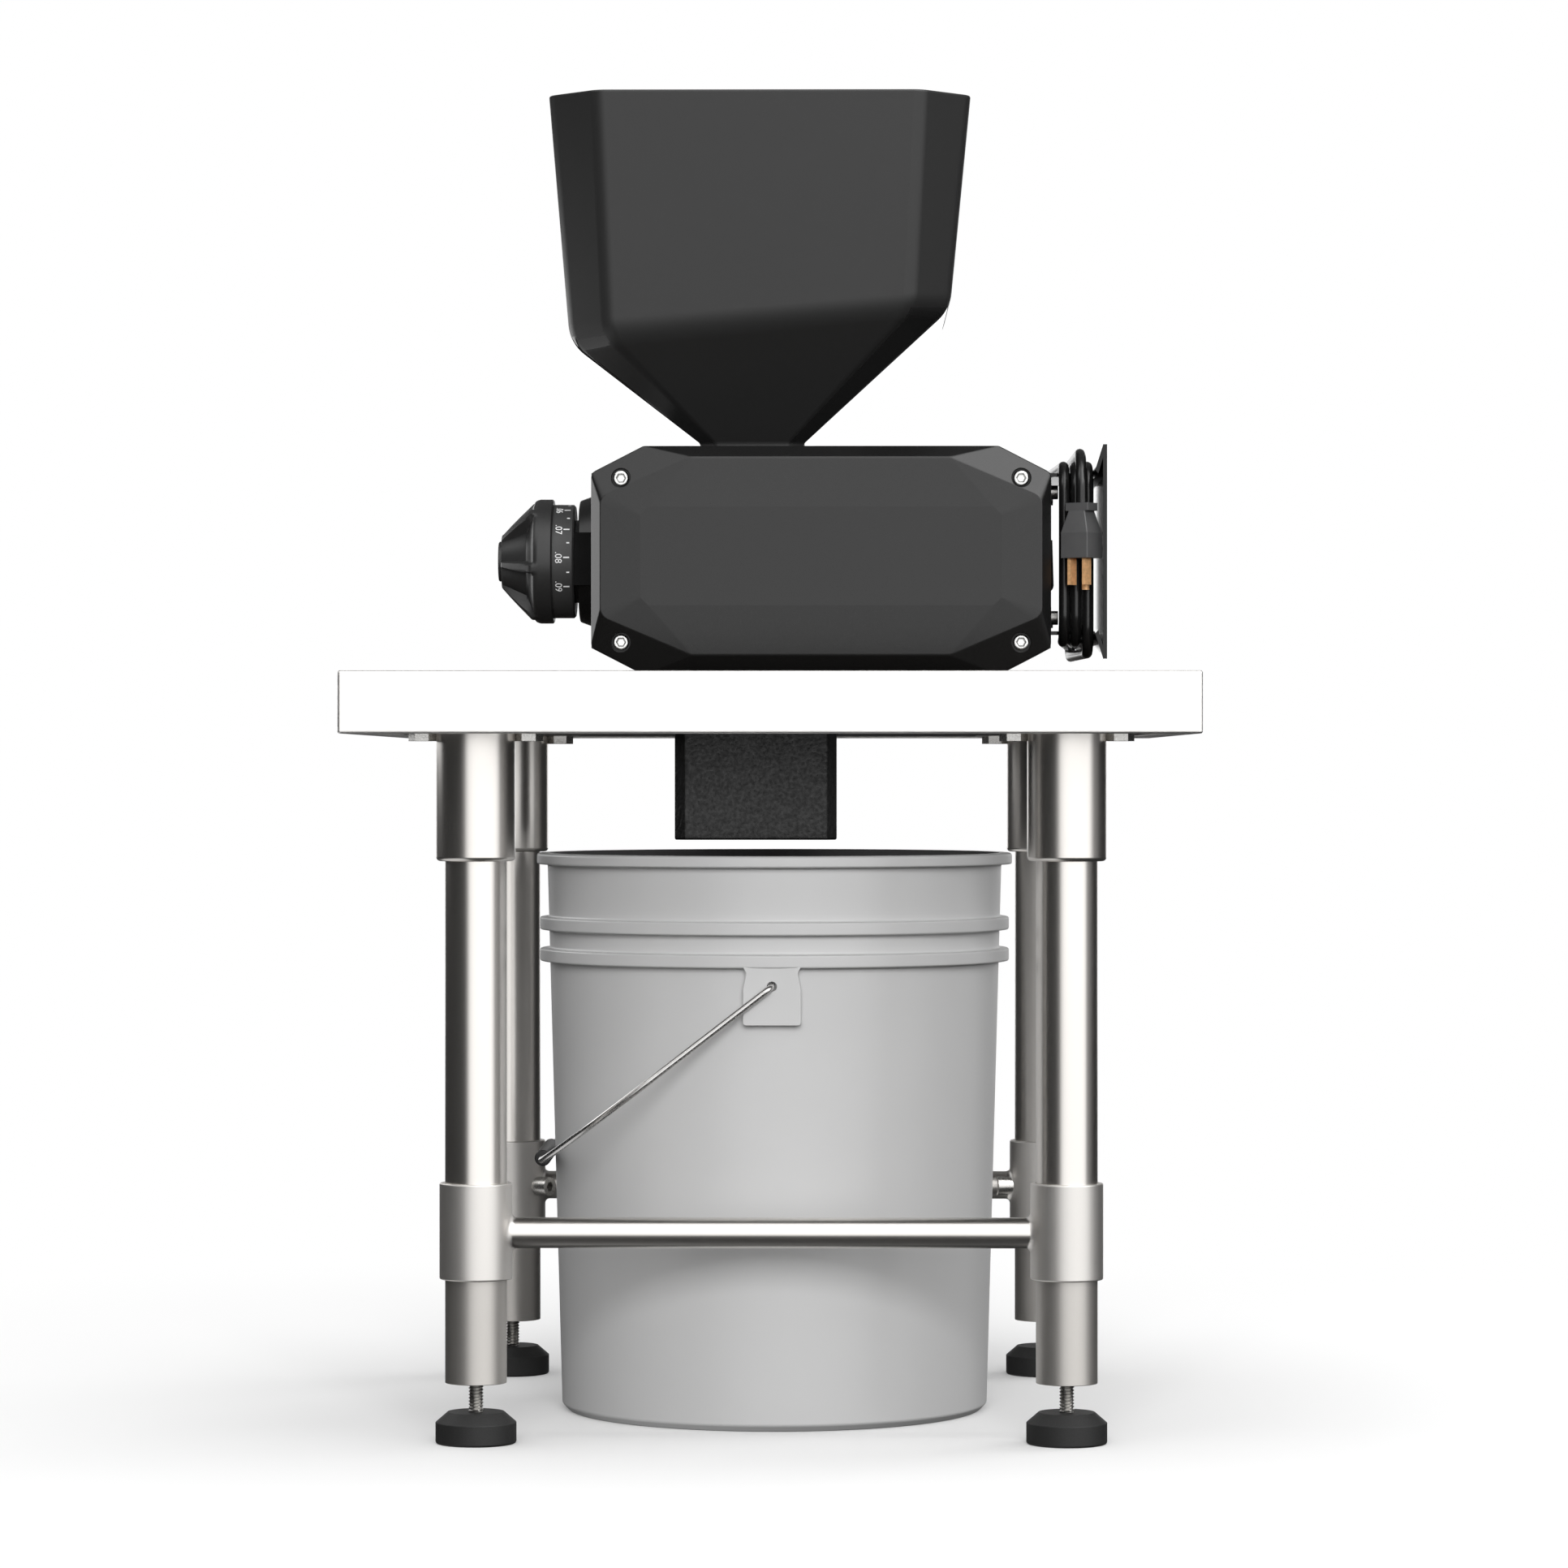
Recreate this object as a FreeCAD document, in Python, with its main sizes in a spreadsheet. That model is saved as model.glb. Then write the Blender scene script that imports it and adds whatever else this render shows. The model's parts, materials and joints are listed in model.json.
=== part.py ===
import FreeCAD, Part
import Sketcher
import math
import os

from FreeCAD import Placement, Rotation, Vector

# Roller grain mill on a four-legged stand, with its catch bucket.
# Frame: origin on the floor under the middle of the stand, +X to the right of the
# operator, +Y away from the operator, +Z up. Lengths in millimetres, angles in degrees.

SIZES = {
    # Worktop: a folded steel pan over a board
    "table_width": 522.0,
    "table_depth": 540.0,
    "table_height": 476.0,
    "table_thick": 38.0,
    "table_sheet": 1.2,
    "table_lip": 22.0,
    "table_edge_radius": 2.5,
    # Legs, sockets and stretchers
    "leg_inset_x": 78.5,
    "leg_inset_y": 79.0,
    "leg_diameter": 38.1,
    "leg_wall": 1.6,
    "leg_bottom": 37.4,
    "socket_diameter": 49.0,
    "socket_length": 79.5,
    "socket_lip_radius": 5.0,
    "socket_plate_length": 92.0,
    "socket_plate_width": 56.0,
    "socket_plate_thick": 3.0,
    "socket_bolt_span": 66.0,
    "socket_bolt_diameter": 8.0,
    "socket_bolt_head_across": 15.0,
    "socket_bolt_head_height": 5.5,
    "socket_bolt_length": 22.0,
    "sleeve_diameter": 45.0,
    "sleeve_bottom": 101.5,
    "sleeve_top": 161.0,
    "crossbar_diameter": 19.0,
    "crossbar_height": 130.0,
    "lock_screw_diameter": 13.0,
    "lock_screw_stand": 10.0,
    "lock_screw_socket": 6.0,
    "lock_screw_turn_a": 55.0,
    "lock_screw_turn_b": 78.0,
    "slip_gap": 0.05,
    # Levelling feet
    "foot_diameter": 50.0,
    "foot_rim": 13.0,
    "foot_height": 19.5,
    "foot_top_diameter": 35.0,
    "foot_edge": 2.5,
    "stud_diameter": 9.5,
    "stud_bury": 10.0,
    "stud_reach": 34.0,
    "insert_length": 24.0,
    # Mill casing
    "mill_left": -114.6,
    "mill_right": 175.8,
    "mill_head": 68.5,
    "mill_corner_x": 33.0,
    "mill_corner_z": 17.0,
    "mill_front": -112.0,
    "mill_back": 118.0,
    "casing_wall": 6.0,
    "cover_rim": 6.0,
    "cover_rise": 12.0,
    "back_rise": 5.0,
    "panel_inset_x": 6.0,
    "panel_inset_top": 7.5,
    "panel_inset_low": 12.0,
    "panel_corner_x": 58.0,
    "panel_corner_z": 25.0,
    "panel_radius": 4.0,
    "cover_screw_inset_x": 19.0,
    "cover_screw_inset_z": 20.5,
    "cover_screw_head": 10.0,
    "cover_screw_recess": 12.5,
    "cover_screw_shank": 5.0,
    "cover_screw_grip": 14.0,
    "cover_screw_seat": 4.0,
    "cover_screw_head_length": 5.0,
    "cover_boss_radius": 7.0,
    "cover_hollow_inset": 12.0,
    "cover_skin": 6.0,
    # Crushing rollers and their end plates
    "axis_rise": 76.0,
    "drive_x": 14.0,
    "roller_diameter": 50.0,
    "roller_gap": 2.03,
    "roller_length": 148.0,
    "flute_count": 48.0,
    "flute_depth": 0.8,
    "plate_inside": 76.0,
    "plate_thick": 10.0,
    "drive_shaft": 20.0,
    "drive_bearing": 34.0,
    "idle_shaft": 16.0,
    "idle_bearing": 28.0,
    "yoke_height": 40.0,
    "yoke_nose": 18.0,
    "yoke_back": 54.0,
    "yoke_bar": 14.0,
    "yoke_room": 3.0,
    "plate_edge": 30.0,
    # Drive
    "gear_module": 3.0,
    "gear_teeth": 38.0,
    "pinion_teeth": 27.0,
    "gear_face": 18.0,
    "gear_stand": 4.0,
    "gear_backlash": 0.5,
    "motor_diameter": 108.0,
    "motor_length": 142.0,
    "motor_bell": 12.0,
    "motor_shaft": 16.0,
    "motor_shaft_bury": 50.0,
    # Gap adjuster on the left
    "knob_tip": -180.0,
    "knob_nose": 2.2,
    "knob_nose_radius": 13.0,
    "knob_cone_radius": 18.5,
    "knob_cone": 20.0,
    "knob_radius": 40.5,
    "knob_band": 14.0,
    "knob_ribs": 6.0,
    "knob_rib_turn": 9.0,
    "scallop_angle": 46.0,
    "scallop_collar": 6.0,
    "scallop_root": 4.0,
    "scallop_deep": 14.0,
    "scallop_shallow": 4.5,
    "dial_radius": 37.0,
    "dial_width": 14.2,
    "neck_radius": 27.0,
    "neck_width": 2.4,
    "run_gap": 0.4,
    "flange_radius": 39.5,
    "flange_foot_radius": 44.0,
    "screw_diameter": 12.0,
    "screw_bury": 26.0,
    "screw_past": 5.0,
    "pointer_reach": 2.0,
    "pointer_height": 34.0,
    "pointer_face": 48.0,
    # Hopper
    "hopper_rise": 223.0,
    "hopper_width": 267.6,
    "hopper_depth": 268.0,
    "hopper_x": -8.3,
    "hopper_corner": 31.0,
    "hopper_bend_rise": 77.5,
    "hopper_bend_tilt": 5.1,
    "hopper_bend_width": 241.8,
    "hopper_bend_depth": 243.0,
    "hopper_bend_corner": 25.0,
    "hopper_wall": 3.0,
    "hopper_radius": 14.0,
    "throat_x": -13.8,
    "throat_width": 66.4,
    "throat_depth": 130.0,
    "throat_corner": 10.0,
    "throat_radius": 4.0,
    "throat_rise": 5.0,
    "throat_dip": 12.0,
    "hopper_tab": 15.0,
    "hopper_tab_thick": 3.0,
    "hopper_screw_span": 36.0,
    "small_screw": 5.0,
    "small_screw_head": 9.0,
    # Discharge chute
    "chute_x": -11.5,
    "chute_width": 104.2,
    "chute_depth": 120.0,
    "chute_drop": 67.0,
    "chute_wall": 3.0,
    "chute_corner": 6.5,
    "chute_flange": 7.0,
    "chute_flange_thick": 2.5,
    "chute_room": 2.0,
    "mill_bolt_diameter": 8.0,
    "mill_bolt_head": 13.0,
    "mill_bolt_bite": 24.0,
    "mill_bolt_room": 2.5,
    "mill_bolt_inset_y": 13.0,
    # Cord wrap, cord and plug on the right
    "cord_diameter": 7.0,
    "cord_pitch": 7.6,
    "cord_turns": 3.0,
    "cord_corner": 18.0,
    "cord_layer": 7.5,
    "wrap_sheet": 2.5,
    "wrap_plate_x": 36.2,
    "wrap_arm_length": 28.7,
    "wrap_arm_depth": 115.0,
    "wrap_above": 54.5,
    "wrap_below": 49.5,
    "wrap_depth": 200.0,
    "wrap_flare": 16.0,
    "wrap_flare_lap": 8.0,
    "wrap_flare_foot": 1.9,
    "wrap_tab": 18.0,
    "wrap_screw_span": 80.0,
    "wind_stand": 10.2,
    "wind_room": 0.5,
    "wind_depth": 148.0,
    "gland_y": 98.0,
    "gland_below": 12.0,
    "gland_stand": 5.4,
    "gland_radius": 5.2,
    "gland_tip_radius": 4.3,
    "gland_length": 30.0,
    "plug_x": 20.2,
    "plug_y": -94.0,
    "plug_width": 20.0,
    "plug_depth": 18.0,
    "plug_block": 16.0,
    "plug_neck": 12.0,
    "plug_taper": 14.0,
    "plug_collar_width": 17.0,
    "plug_collar": 5.0,
    "plug_nub": 4.0,
    "plug_turn": -35.0,
    "blade_width": 7.0,
    "blade_thick": 2.4,
    "blade_length": 17.0,
    "blade_pitch": 11.0,
    "pin_diameter": 4.8,
    "pin_length": 20.0,
    "pin_offset": 5.0,
    # Switch on the back cover
    "switch_x": -70.0,
    "switch_width": 30.0,
    "switch_height": 44.0,
    "switch_frame": 3.0,
    "switch_wall": 1.5,
    "switch_stand": 2.5,
    "switch_deep": 22.0,
    "rocker_room": 0.6,
    "rocker_tilt": 8.0,
    "rocker_rise": 4.5,
    "rocker_dish": 2.0,
    "rocker_body": 7.0,
    "rocker_pivot": 1.0,
    "rocker_pin": 2.4,
    "rocker_pin_reach": 1.0,
    # Bucket and bail
    "bucket_base": 277.0,
    "bucket_mouth": 296.5,
    "bucket_height": 362.0,
    "bucket_wall": 2.2,
    "bucket_floor": 4.0,
    "bucket_foot": 3.0,
    "bucket_edge": 4.0,
    "rim_diameter": 310.0,
    "rim_height": 7.3,
    "rib_diameter": 306.0,
    "rib_height": 8.2,
    "upper_rib": 312.2,
    "lower_rib": 291.8,
    "ear_width": 36.5,
    "ear_drop": 35.8,
    "ear_neck": 2.0,
    "ear_shoulder": 13.0,
    "ear_face": 152.0,
    "ear_hole": 6.0,
    "bail_height": 280.5,
    "bail_wire": 4.2,
    "bail_offset": 156.5,
    "bail_reach": 187.6,
    "bail_drop": 37.6,
    "bail_corner": 101.0,
    "bail_hook_radius": 6.0,
    "bail_hook_inside": 16.0,
    "grip_diameter": 10.4,
    "grip_length": 108.0,
}

doc = FreeCAD.newDocument("GrainMill")
sheet = doc.addObject("Spreadsheet::Sheet", "Dims")
for row, (alias, value) in enumerate(SIZES.items(), start=1):
    sheet.set(f"A{row}", alias)
    sheet.set(f"B{row}", str(value))
    sheet.setAlias(f"B{row}", alias)
doc.recompute()


class Size:
    """A number together with the spreadsheet formula that gives it."""

    def __init__(self, value, text):
        self.value = float(value)
        self.text = text

    def __float__(self):
        return self.value

    def __add__(self, other):
        other = as_size(other)
        return Size(self.value + other.value, f"({self.text} + {other.text})")

    def __sub__(self, other):
        other = as_size(other)
        return Size(self.value - other.value, f"({self.text} - {other.text})")

    def __mul__(self, other):
        other = as_size(other)
        return Size(self.value * other.value, f"({self.text} * {other.text})")

    def __truediv__(self, other):
        other = as_size(other)
        return Size(self.value / other.value, f"({self.text} / {other.text})")

    def __radd__(self, other):
        return as_size(other) + self

    def __rsub__(self, other):
        return as_size(other) - self

    def __rmul__(self, other):
        return as_size(other) * self

    def __neg__(self):
        return Size(-self.value, f"(0 - {self.text})")


def as_size(value):
    if isinstance(value, Size):
        return value
    return Size(value, repr(float(value)))


class Sheet:
    """Reads a named size from the spreadsheet."""

    def __getattr__(self, alias):
        return Size(sheet.get(alias), f"Dims.{alias}")


s = Sheet()
pieces = []

ALONG_X = Rotation(Vector(0, 1, 0), 90)
ALONG_Y = Rotation(Vector(1, 0, 0), -90)
ALONG_Z = Rotation()


# Building helpers

def bind(thing, prop, size):
    thing.setExpression(prop, as_size(size).text)


def place(thing, x=0, y=0, z=0):
    bind(thing, "Placement.Base.x", x)
    bind(thing, "Placement.Base.y", y)
    bind(thing, "Placement.Base.z", z)


def keep(thing, label):
    """Marks a finished sub-part; its label names its file."""
    thing.Label = label
    pieces.append(thing)
    return thing


def new_body(name, x=0, y=0, z=0):
    body = doc.addObject("PartDesign::Body", name)
    place(body, x, y, z)
    return body


def new_sketch(body, role, offset=0):
    """Empty sketch on one of the body's own origin planes, moved along its normal."""
    sketch = body.newObject("Sketcher::SketchObject", "Sketch")
    plane = [item for item in body.Origin.OriginFeatures if item.Role == role][0]
    sketch.AttachmentSupport = [(plane, "")]
    sketch.MapMode = "FlatFace"
    bind(sketch, "AttachmentOffset.Base.z", offset)
    return sketch


def dimension(sketch, kind, *ends, size):
    number = sketch.addConstraint(Sketcher.Constraint(kind, *ends, float(size)))
    bind(sketch, f"Constraints[{number}]", size)


def outline(body, role, corners, offset=0):
    """Closed straight-sided sketch whose corners each sit at two bound distances."""
    sketch = new_sketch(body, role, offset)
    points = [Vector(float(u), float(v), 0) for u, v in corners]
    count = len(points)
    for index in range(count):
        sketch.addGeometry(Part.LineSegment(points[index], points[(index + 1) % count]), False)
    for index in range(count):
        sketch.addConstraint(Sketcher.Constraint("Coincident", index, 2, (index + 1) % count, 1))
    for index, (u, v) in enumerate(corners):
        dimension(sketch, "DistanceX", -1, 1, index, 1, size=u)
        dimension(sketch, "DistanceY", -1, 1, index, 1, size=v)
    return sketch


def rectangle(body, role, u_low, u_high, v_low, v_high, offset=0):
    return outline(body, role, [(u_low, v_low), (u_high, v_low), (u_high, v_high), (u_low, v_high)], offset)


def circles(body, role, rounds, offset=0):
    """Sketch of circles, each given as centre u, centre v and radius."""
    sketch = new_sketch(body, role, offset)
    for index, (u, v, radius) in enumerate(rounds):
        centre = Vector(float(u), float(v), 0)
        sketch.addGeometry(Part.Circle(centre, Vector(0, 0, 1), float(radius)), False)
        dimension(sketch, "DistanceX", -1, 1, index, 3, size=u)
        dimension(sketch, "DistanceY", -1, 1, index, 3, size=v)
        dimension(sketch, "Radius", index, size=radius)
    return sketch


def pad(body, sketch, length, back=False):
    feature = body.newObject("PartDesign::Pad", "Pad")
    feature.Profile = sketch
    feature.Reversed = back
    bind(feature, "Length", length)
    return feature


def pocket(body, sketch, length, back=False):
    """Cuts against the sketch normal, or along it where back is set."""
    feature = body.newObject("PartDesign::Pocket", "Pocket")
    feature.Profile = sketch
    feature.Reversed = back
    bind(feature, "Length", length)
    return feature


def revolve(body, sketch, axis, kind="PartDesign::Revolution"):
    feature = body.newObject(kind, "Turned")
    feature.Profile = sketch
    feature.ReferenceAxis = (sketch, [axis])
    feature.Angle = 360
    return feature


def loft(body, first, second):
    feature = body.newObject("PartDesign::AdditiveLoft", "Loft")
    feature.Profile = first
    feature.Sections = [second]
    feature.Ruled = True
    return feature


def fillet(body, feature, radius, wanted):
    """Rounds the edges of a feature that pass the test."""
    doc.recompute()
    names = [f"Edge{n}" for n, edge in enumerate(feature.Shape.Edges, start=1) if wanted(edge)]
    rounded = body.newObject("PartDesign::Fillet", "Fillet")
    rounded.Base = (feature, names)
    bind(rounded, "Radius", radius)
    return rounded


def cylinder(name, radius, length, x, y, z, turn=ALONG_Z):
    thing = doc.addObject("Part::Cylinder", name)
    thing.Placement = Placement(Vector(), turn)
    bind(thing, "Radius", radius)
    bind(thing, "Height", length)
    place(thing, x, y, z)
    return thing


def cone(name, radius_low, radius_high, length, x, y, z, turn=ALONG_Z):
    thing = doc.addObject("Part::Cone", name)
    thing.Placement = Placement(Vector(), turn)
    bind(thing, "Radius1", radius_low)
    bind(thing, "Radius2", radius_high)
    bind(thing, "Height", length)
    place(thing, x, y, z)
    return thing


def hexagon(name, across, length, x, y, z, turn=ALONG_Z):
    thing = doc.addObject("Part::Prism", name)
    thing.Placement = Placement(Vector(), turn)
    thing.Polygon = 6
    bind(thing, "Circumradius", across / math.sqrt(3))
    bind(thing, "Height", length)
    place(thing, x, y, z)
    return thing


def block(name, length, width, height, x, y, z):
    thing = doc.addObject("Part::Box", name)
    bind(thing, "Length", length)
    bind(thing, "Width", width)
    bind(thing, "Height", height)
    place(thing, x, y, z)
    return thing


def cut(name, base, *tools):
    tool = tools[0] if len(tools) == 1 else fuse(name + "_tools", *tools)
    thing = doc.addObject("Part::Cut", name)
    thing.Base = base
    thing.Tool = tool
    return thing


def fuse(name, *shapes):
    thing = doc.addObject("Part::MultiFuse", name)
    thing.Shapes = list(shapes)
    return thing


def group(name, *things):
    thing = doc.addObject("Part::Compound", name)
    thing.Links = list(things)
    return thing


def solid(name, shape):
    thing = doc.addObject("Part::Feature", name)
    thing.Shape = shape
    return thing


def socket_screw(name, head, head_length, shank, shank_length, x, y, z, turn):
    """Socket-head screw: the head stands on its seat at the given point, the shank runs back."""
    way = turn.multVec(Vector(0, 0, 1))
    top = cylinder(name + "_head", head / 2, head_length, x, y, z, turn)
    well = hexagon(name + "_well", head / 2, head_length / 2, x + way.x * head_length / 2,
                   y + way.y * head_length / 2, z + way.z * head_length / 2, turn)
    stem = cylinder(name + "_stem", shank / 2, shank_length, x - way.x * shank_length,
                    y - way.y * shank_length, z - way.z * shank_length, turn)
    return cut(name, fuse(name + "_blank", top, stem), well)


# Places that several sub-parts share

table_under = s.table_height - s.table_thick
core_under = table_under + s.table_sheet
bore_radius = s.leg_diameter / 2 + s.slip_gap
leg_x = s.table_width / 2 - s.leg_inset_x
leg_y = s.table_depth / 2 - s.leg_inset_y
corners = {
    "front_left": (-1, -1),
    "front_right": (1, -1),
    "rear_left": (-1, 1),
    "rear_right": (1, 1),
}


def leg_at(corner):
    side_x, side_y = corners[corner]
    return side_x * leg_x, side_y * leg_y


chute_left = s.chute_x - s.chute_width / 2
chute_right = s.chute_x + s.chute_width / 2
mill_floor = s.table_height + s.casing_wall
axis_height = s.table_height + s.axis_rise
mill_top = axis_height + s.mill_head
mill_ceiling = mill_top - s.casing_wall
chute_bottom = table_under - s.chute_drop
wrap_top = axis_height + s.wrap_above
wrap_bottom = axis_height - s.wrap_below
gland_height = axis_height - s.gland_below
bolt_inset = s.casing_wall + s.mill_corner_x + s.mill_bolt_head / 2 + s.mill_bolt_room
bolt_x = (s.mill_left + bolt_inset, s.mill_right - bolt_inset)
bolt_y = (s.mill_front + s.mill_bolt_inset_y, s.mill_back - s.mill_bolt_inset_y)
bolt_places = [(x, y) for x in bolt_x for y in bolt_y]


def bolt_holes(body, low, length):
    """Clearance holes for the four bolts that hold the mill to the worktop."""
    radius = s.mill_bolt_diameter / 2 + s.slip_gap
    pocket(body, circles(body, "XY_Plane", [(x, y, radius) for x, y in bolt_places], low), length, back=True)


# Worktop

def make_table_top():
    body = new_body("TableTop")
    half_x = s.table_width / 2
    half_y = s.table_depth / 2
    slab = pad(body, rectangle(body, "XY_Plane", -half_x, half_x, -half_y, half_y, table_under), s.table_thick)
    low = float(table_under)
    fillet(body, slab, s.table_edge_radius, lambda edge: edge.BoundBox.ZMax > low + 1)
    hollow_x = half_x - s.table_sheet
    hollow_y = half_y - s.table_sheet
    pocket(body, rectangle(body, "XY_Plane", -hollow_x, hollow_x, -hollow_y, hollow_y, core_under),
           s.table_thick - 2 * s.table_sheet, back=True)
    open_x = half_x - s.table_lip
    open_y = half_y - s.table_lip
    pocket(body, rectangle(body, "XY_Plane", -open_x, open_x, -open_y, open_y, table_under),
           s.table_sheet, back=True)
    chute_hole(body, s.table_height - s.table_sheet, s.table_sheet)
    bolt_holes(body, s.table_height - s.table_sheet, s.table_sheet)
    keep(body, "table_top")


def chute_hole(body, low, length):
    half_y = s.chute_depth / 2 + s.chute_room
    pocket(body, rectangle(body, "XY_Plane", chute_left - s.chute_room, chute_right + s.chute_room,
                           -half_y, half_y, low), length, back=True)


def make_table_core():
    body = new_body("TableCore")
    half_x = s.table_width / 2 - s.table_sheet
    half_y = s.table_depth / 2 - s.table_sheet
    thick = s.table_thick - 2 * s.table_sheet
    pad(body, rectangle(body, "XY_Plane", -half_x, half_x, -half_y, half_y, core_under), thick)
    chute_hole(body, core_under, thick)
    bolt_holes(body, s.table_height - s.table_sheet - s.mill_bolt_bite, s.mill_bolt_bite)
    for corner in corners:
        x, y = leg_at(corner)
        pocket(body, rectangle(body, "XY_Plane", x - s.socket_plate_length / 2, x + s.socket_plate_length / 2,
                               y - s.socket_plate_width / 2, y + s.socket_plate_width / 2, core_under),
               s.socket_plate_thick, back=True)
        pocket(body, circles(body, "XY_Plane", [(x + side * s.socket_bolt_span / 2, y,
                                                 s.socket_bolt_diameter / 2 + s.slip_gap) for side in (-1, 1)],
                             core_under), s.socket_bolt_length, back=True)
    keep(body, "table_core")


# Legs

def make_leg_socket(corner):
    x, y = leg_at(corner)
    body = new_body("Socket", x, y, core_under)
    half_x = s.socket_plate_length / 2
    half_y = s.socket_plate_width / 2
    pad(body, rectangle(body, "XY_Plane", -half_x, half_x, -half_y, half_y), s.socket_plate_thick)
    cup = pad(body, circles(body, "XY_Plane", [(0, 0, s.socket_diameter / 2)]), s.socket_length, back=True)
    low = -float(s.socket_length)
    fillet(body, cup, s.socket_lip_radius, lambda edge: edge.BoundBox.ZMax < low + 0.1)
    pocket(body, circles(body, "XY_Plane", [(0, 0, bore_radius)]), s.socket_length)
    holes = [(side * s.socket_bolt_span / 2, 0, s.socket_bolt_diameter / 2 + s.slip_gap) for side in (-1, 1)]
    pocket(body, circles(body, "XY_Plane", holes), s.socket_plate_thick, back=True)
    keep(body, "leg_socket_" + corner)


def make_socket_bolts():
    bolts = []
    for corner in corners:
        x, y = leg_at(corner)
        for side in (-1, 1):
            at_x = x + side * s.socket_bolt_span / 2
            head = hexagon("BoltHead", s.socket_bolt_head_across, s.socket_bolt_head_height,
                           at_x, y, core_under - s.socket_bolt_head_height)
            stem = cylinder("BoltStem", s.socket_bolt_diameter / 2, s.socket_bolt_length, at_x, y, core_under)
            bolts.append(fuse("Bolt", head, stem))
    keep(group("SocketBolts", *bolts), "socket_bolts")


def make_leg(corner):
    x, y = leg_at(corner)
    body = new_body("Leg", x, y, s.leg_bottom)
    rings = [(0, 0, s.leg_diameter / 2), (0, 0, s.leg_diameter / 2 - s.leg_wall)]
    pad(body, circles(body, "XY_Plane", rings), core_under - s.leg_bottom)
    keep(body, "leg_" + corner)


def make_leg_inserts():
    plugs = []
    for corner in corners:
        x, y = leg_at(corner)
        core = cylinder("Insert", s.leg_diameter / 2 - s.leg_wall, s.insert_length, x, y, s.leg_bottom)
        hole = cylinder("InsertHole", s.stud_diameter / 2 + s.slip_gap, s.insert_length, x, y, s.leg_bottom)
        plugs.append(cut("InsertPlug", core, hole))
    keep(group("LegInserts", *plugs), "leg_inserts")


# Stretchers, each a bar welded to two sleeves that lock on the legs

lock_screws = []


def make_stretcher(row, side_y):
    shapes = []
    tools = []
    y = side_y * leg_y
    for side_x, turn in ((-side_y, s.lock_screw_turn_a), (side_y, s.lock_screw_turn_b)):
        x = side_x * leg_x
        height = s.sleeve_top - s.sleeve_bottom
        shapes.append(cylinder("Sleeve", s.sleeve_diameter / 2, height, x, y, s.sleeve_bottom))
        tools.append(cylinder("SleeveBore", bore_radius, height, x, y, s.sleeve_bottom))
        # The screw points inwards between the bar and the square to it.
        angle = math.radians(float(turn))
        way = Vector(-side_x * math.sin(angle), -side_y * math.cos(angle), 0)
        facing = Rotation(Vector(0, 0, 1), way)
        reach = s.sleeve_diameter / 2 + s.lock_screw_stand
        start = bore_radius + s.slip_gap
        tools.append(cylinder("ScrewHole", s.lock_screw_diameter / 2 + s.slip_gap, reach - bore_radius + 1,
                              x + way.x * (bore_radius - 1), y + way.y * (bore_radius - 1),
                              s.crossbar_height, facing))
        screw = cylinder("LockScrew", s.lock_screw_diameter / 2, reach - start, x + way.x * start,
                         y + way.y * start, s.crossbar_height, facing)
        well_at = reach - s.lock_screw_socket
        well = hexagon("LockWell", s.lock_screw_socket, s.lock_screw_socket, x + way.x * well_at,
                       y + way.y * well_at, s.crossbar_height, facing)
        lock_screws.append(cut("LockScrewCut", screw, well))
    shapes.append(cylinder("Crossbar", s.crossbar_diameter / 2, 2 * leg_x, -leg_x, y,
                           s.crossbar_height, ALONG_X))
    keep(cut("Stretcher", fuse("StretcherBlank", *shapes), *tools), row + "_stretcher")


# Levelling feet

def make_foot(corner):
    x, y = leg_at(corner)
    body = new_body("Foot", x, y, 0)
    radius = s.foot_diameter / 2
    hole = s.stud_diameter / 2
    profile = outline(body, "XZ_Plane", [
        (0, 0),
        (radius - s.foot_edge, 0),
        (radius, s.foot_edge),
        (radius, s.foot_rim),
        (s.foot_top_diameter / 2, s.foot_height),
        (hole, s.foot_height),
        (hole, s.foot_height - s.stud_bury),
        (0, s.foot_height - s.stud_bury),
    ])
    revolve(body, profile, "V_Axis")
    keep(body, "foot_pad_" + corner)
    base = s.foot_height - s.stud_bury
    stud = cylinder("Stud", hole, s.leg_bottom + s.stud_reach - base, x, y, base)
    keep(stud, "foot_stud_" + corner)


def make_stand():
    make_table_top()
    make_table_core()
    make_socket_bolts()
    for corner in corners:
        make_leg_socket(corner)
        make_leg(corner)
        make_foot(corner)
    make_leg_inserts()
    make_stretcher("front", -1)
    make_stretcher("rear", 1)
    keep(group("LockScrews", *lock_screws), "stretcher_screws")


make_stand()


# Mill casing: an eight-sided tube closed by a cover at each end

def octagon(left, right, low, high, corner_x, corner_z):
    return [
        (left + corner_x, low),
        (right - corner_x, low),
        (right, low + corner_z),
        (right, high - corner_z),
        (right - corner_x, high),
        (left + corner_x, high),
        (left, high - corner_z),
        (left, low + corner_z),
    ]


def casing_octagon(inset=0):
    return octagon(s.mill_left + inset, s.mill_right - inset, s.table_height + inset, mill_top - inset,
                   s.mill_corner_x, s.mill_corner_z)


def panel_octagon():
    return octagon(s.mill_left + s.panel_inset_x, s.mill_right - s.panel_inset_x,
                   s.table_height + s.panel_inset_low, mill_top - s.panel_inset_top,
                   s.panel_corner_x, s.panel_corner_z)


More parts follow.
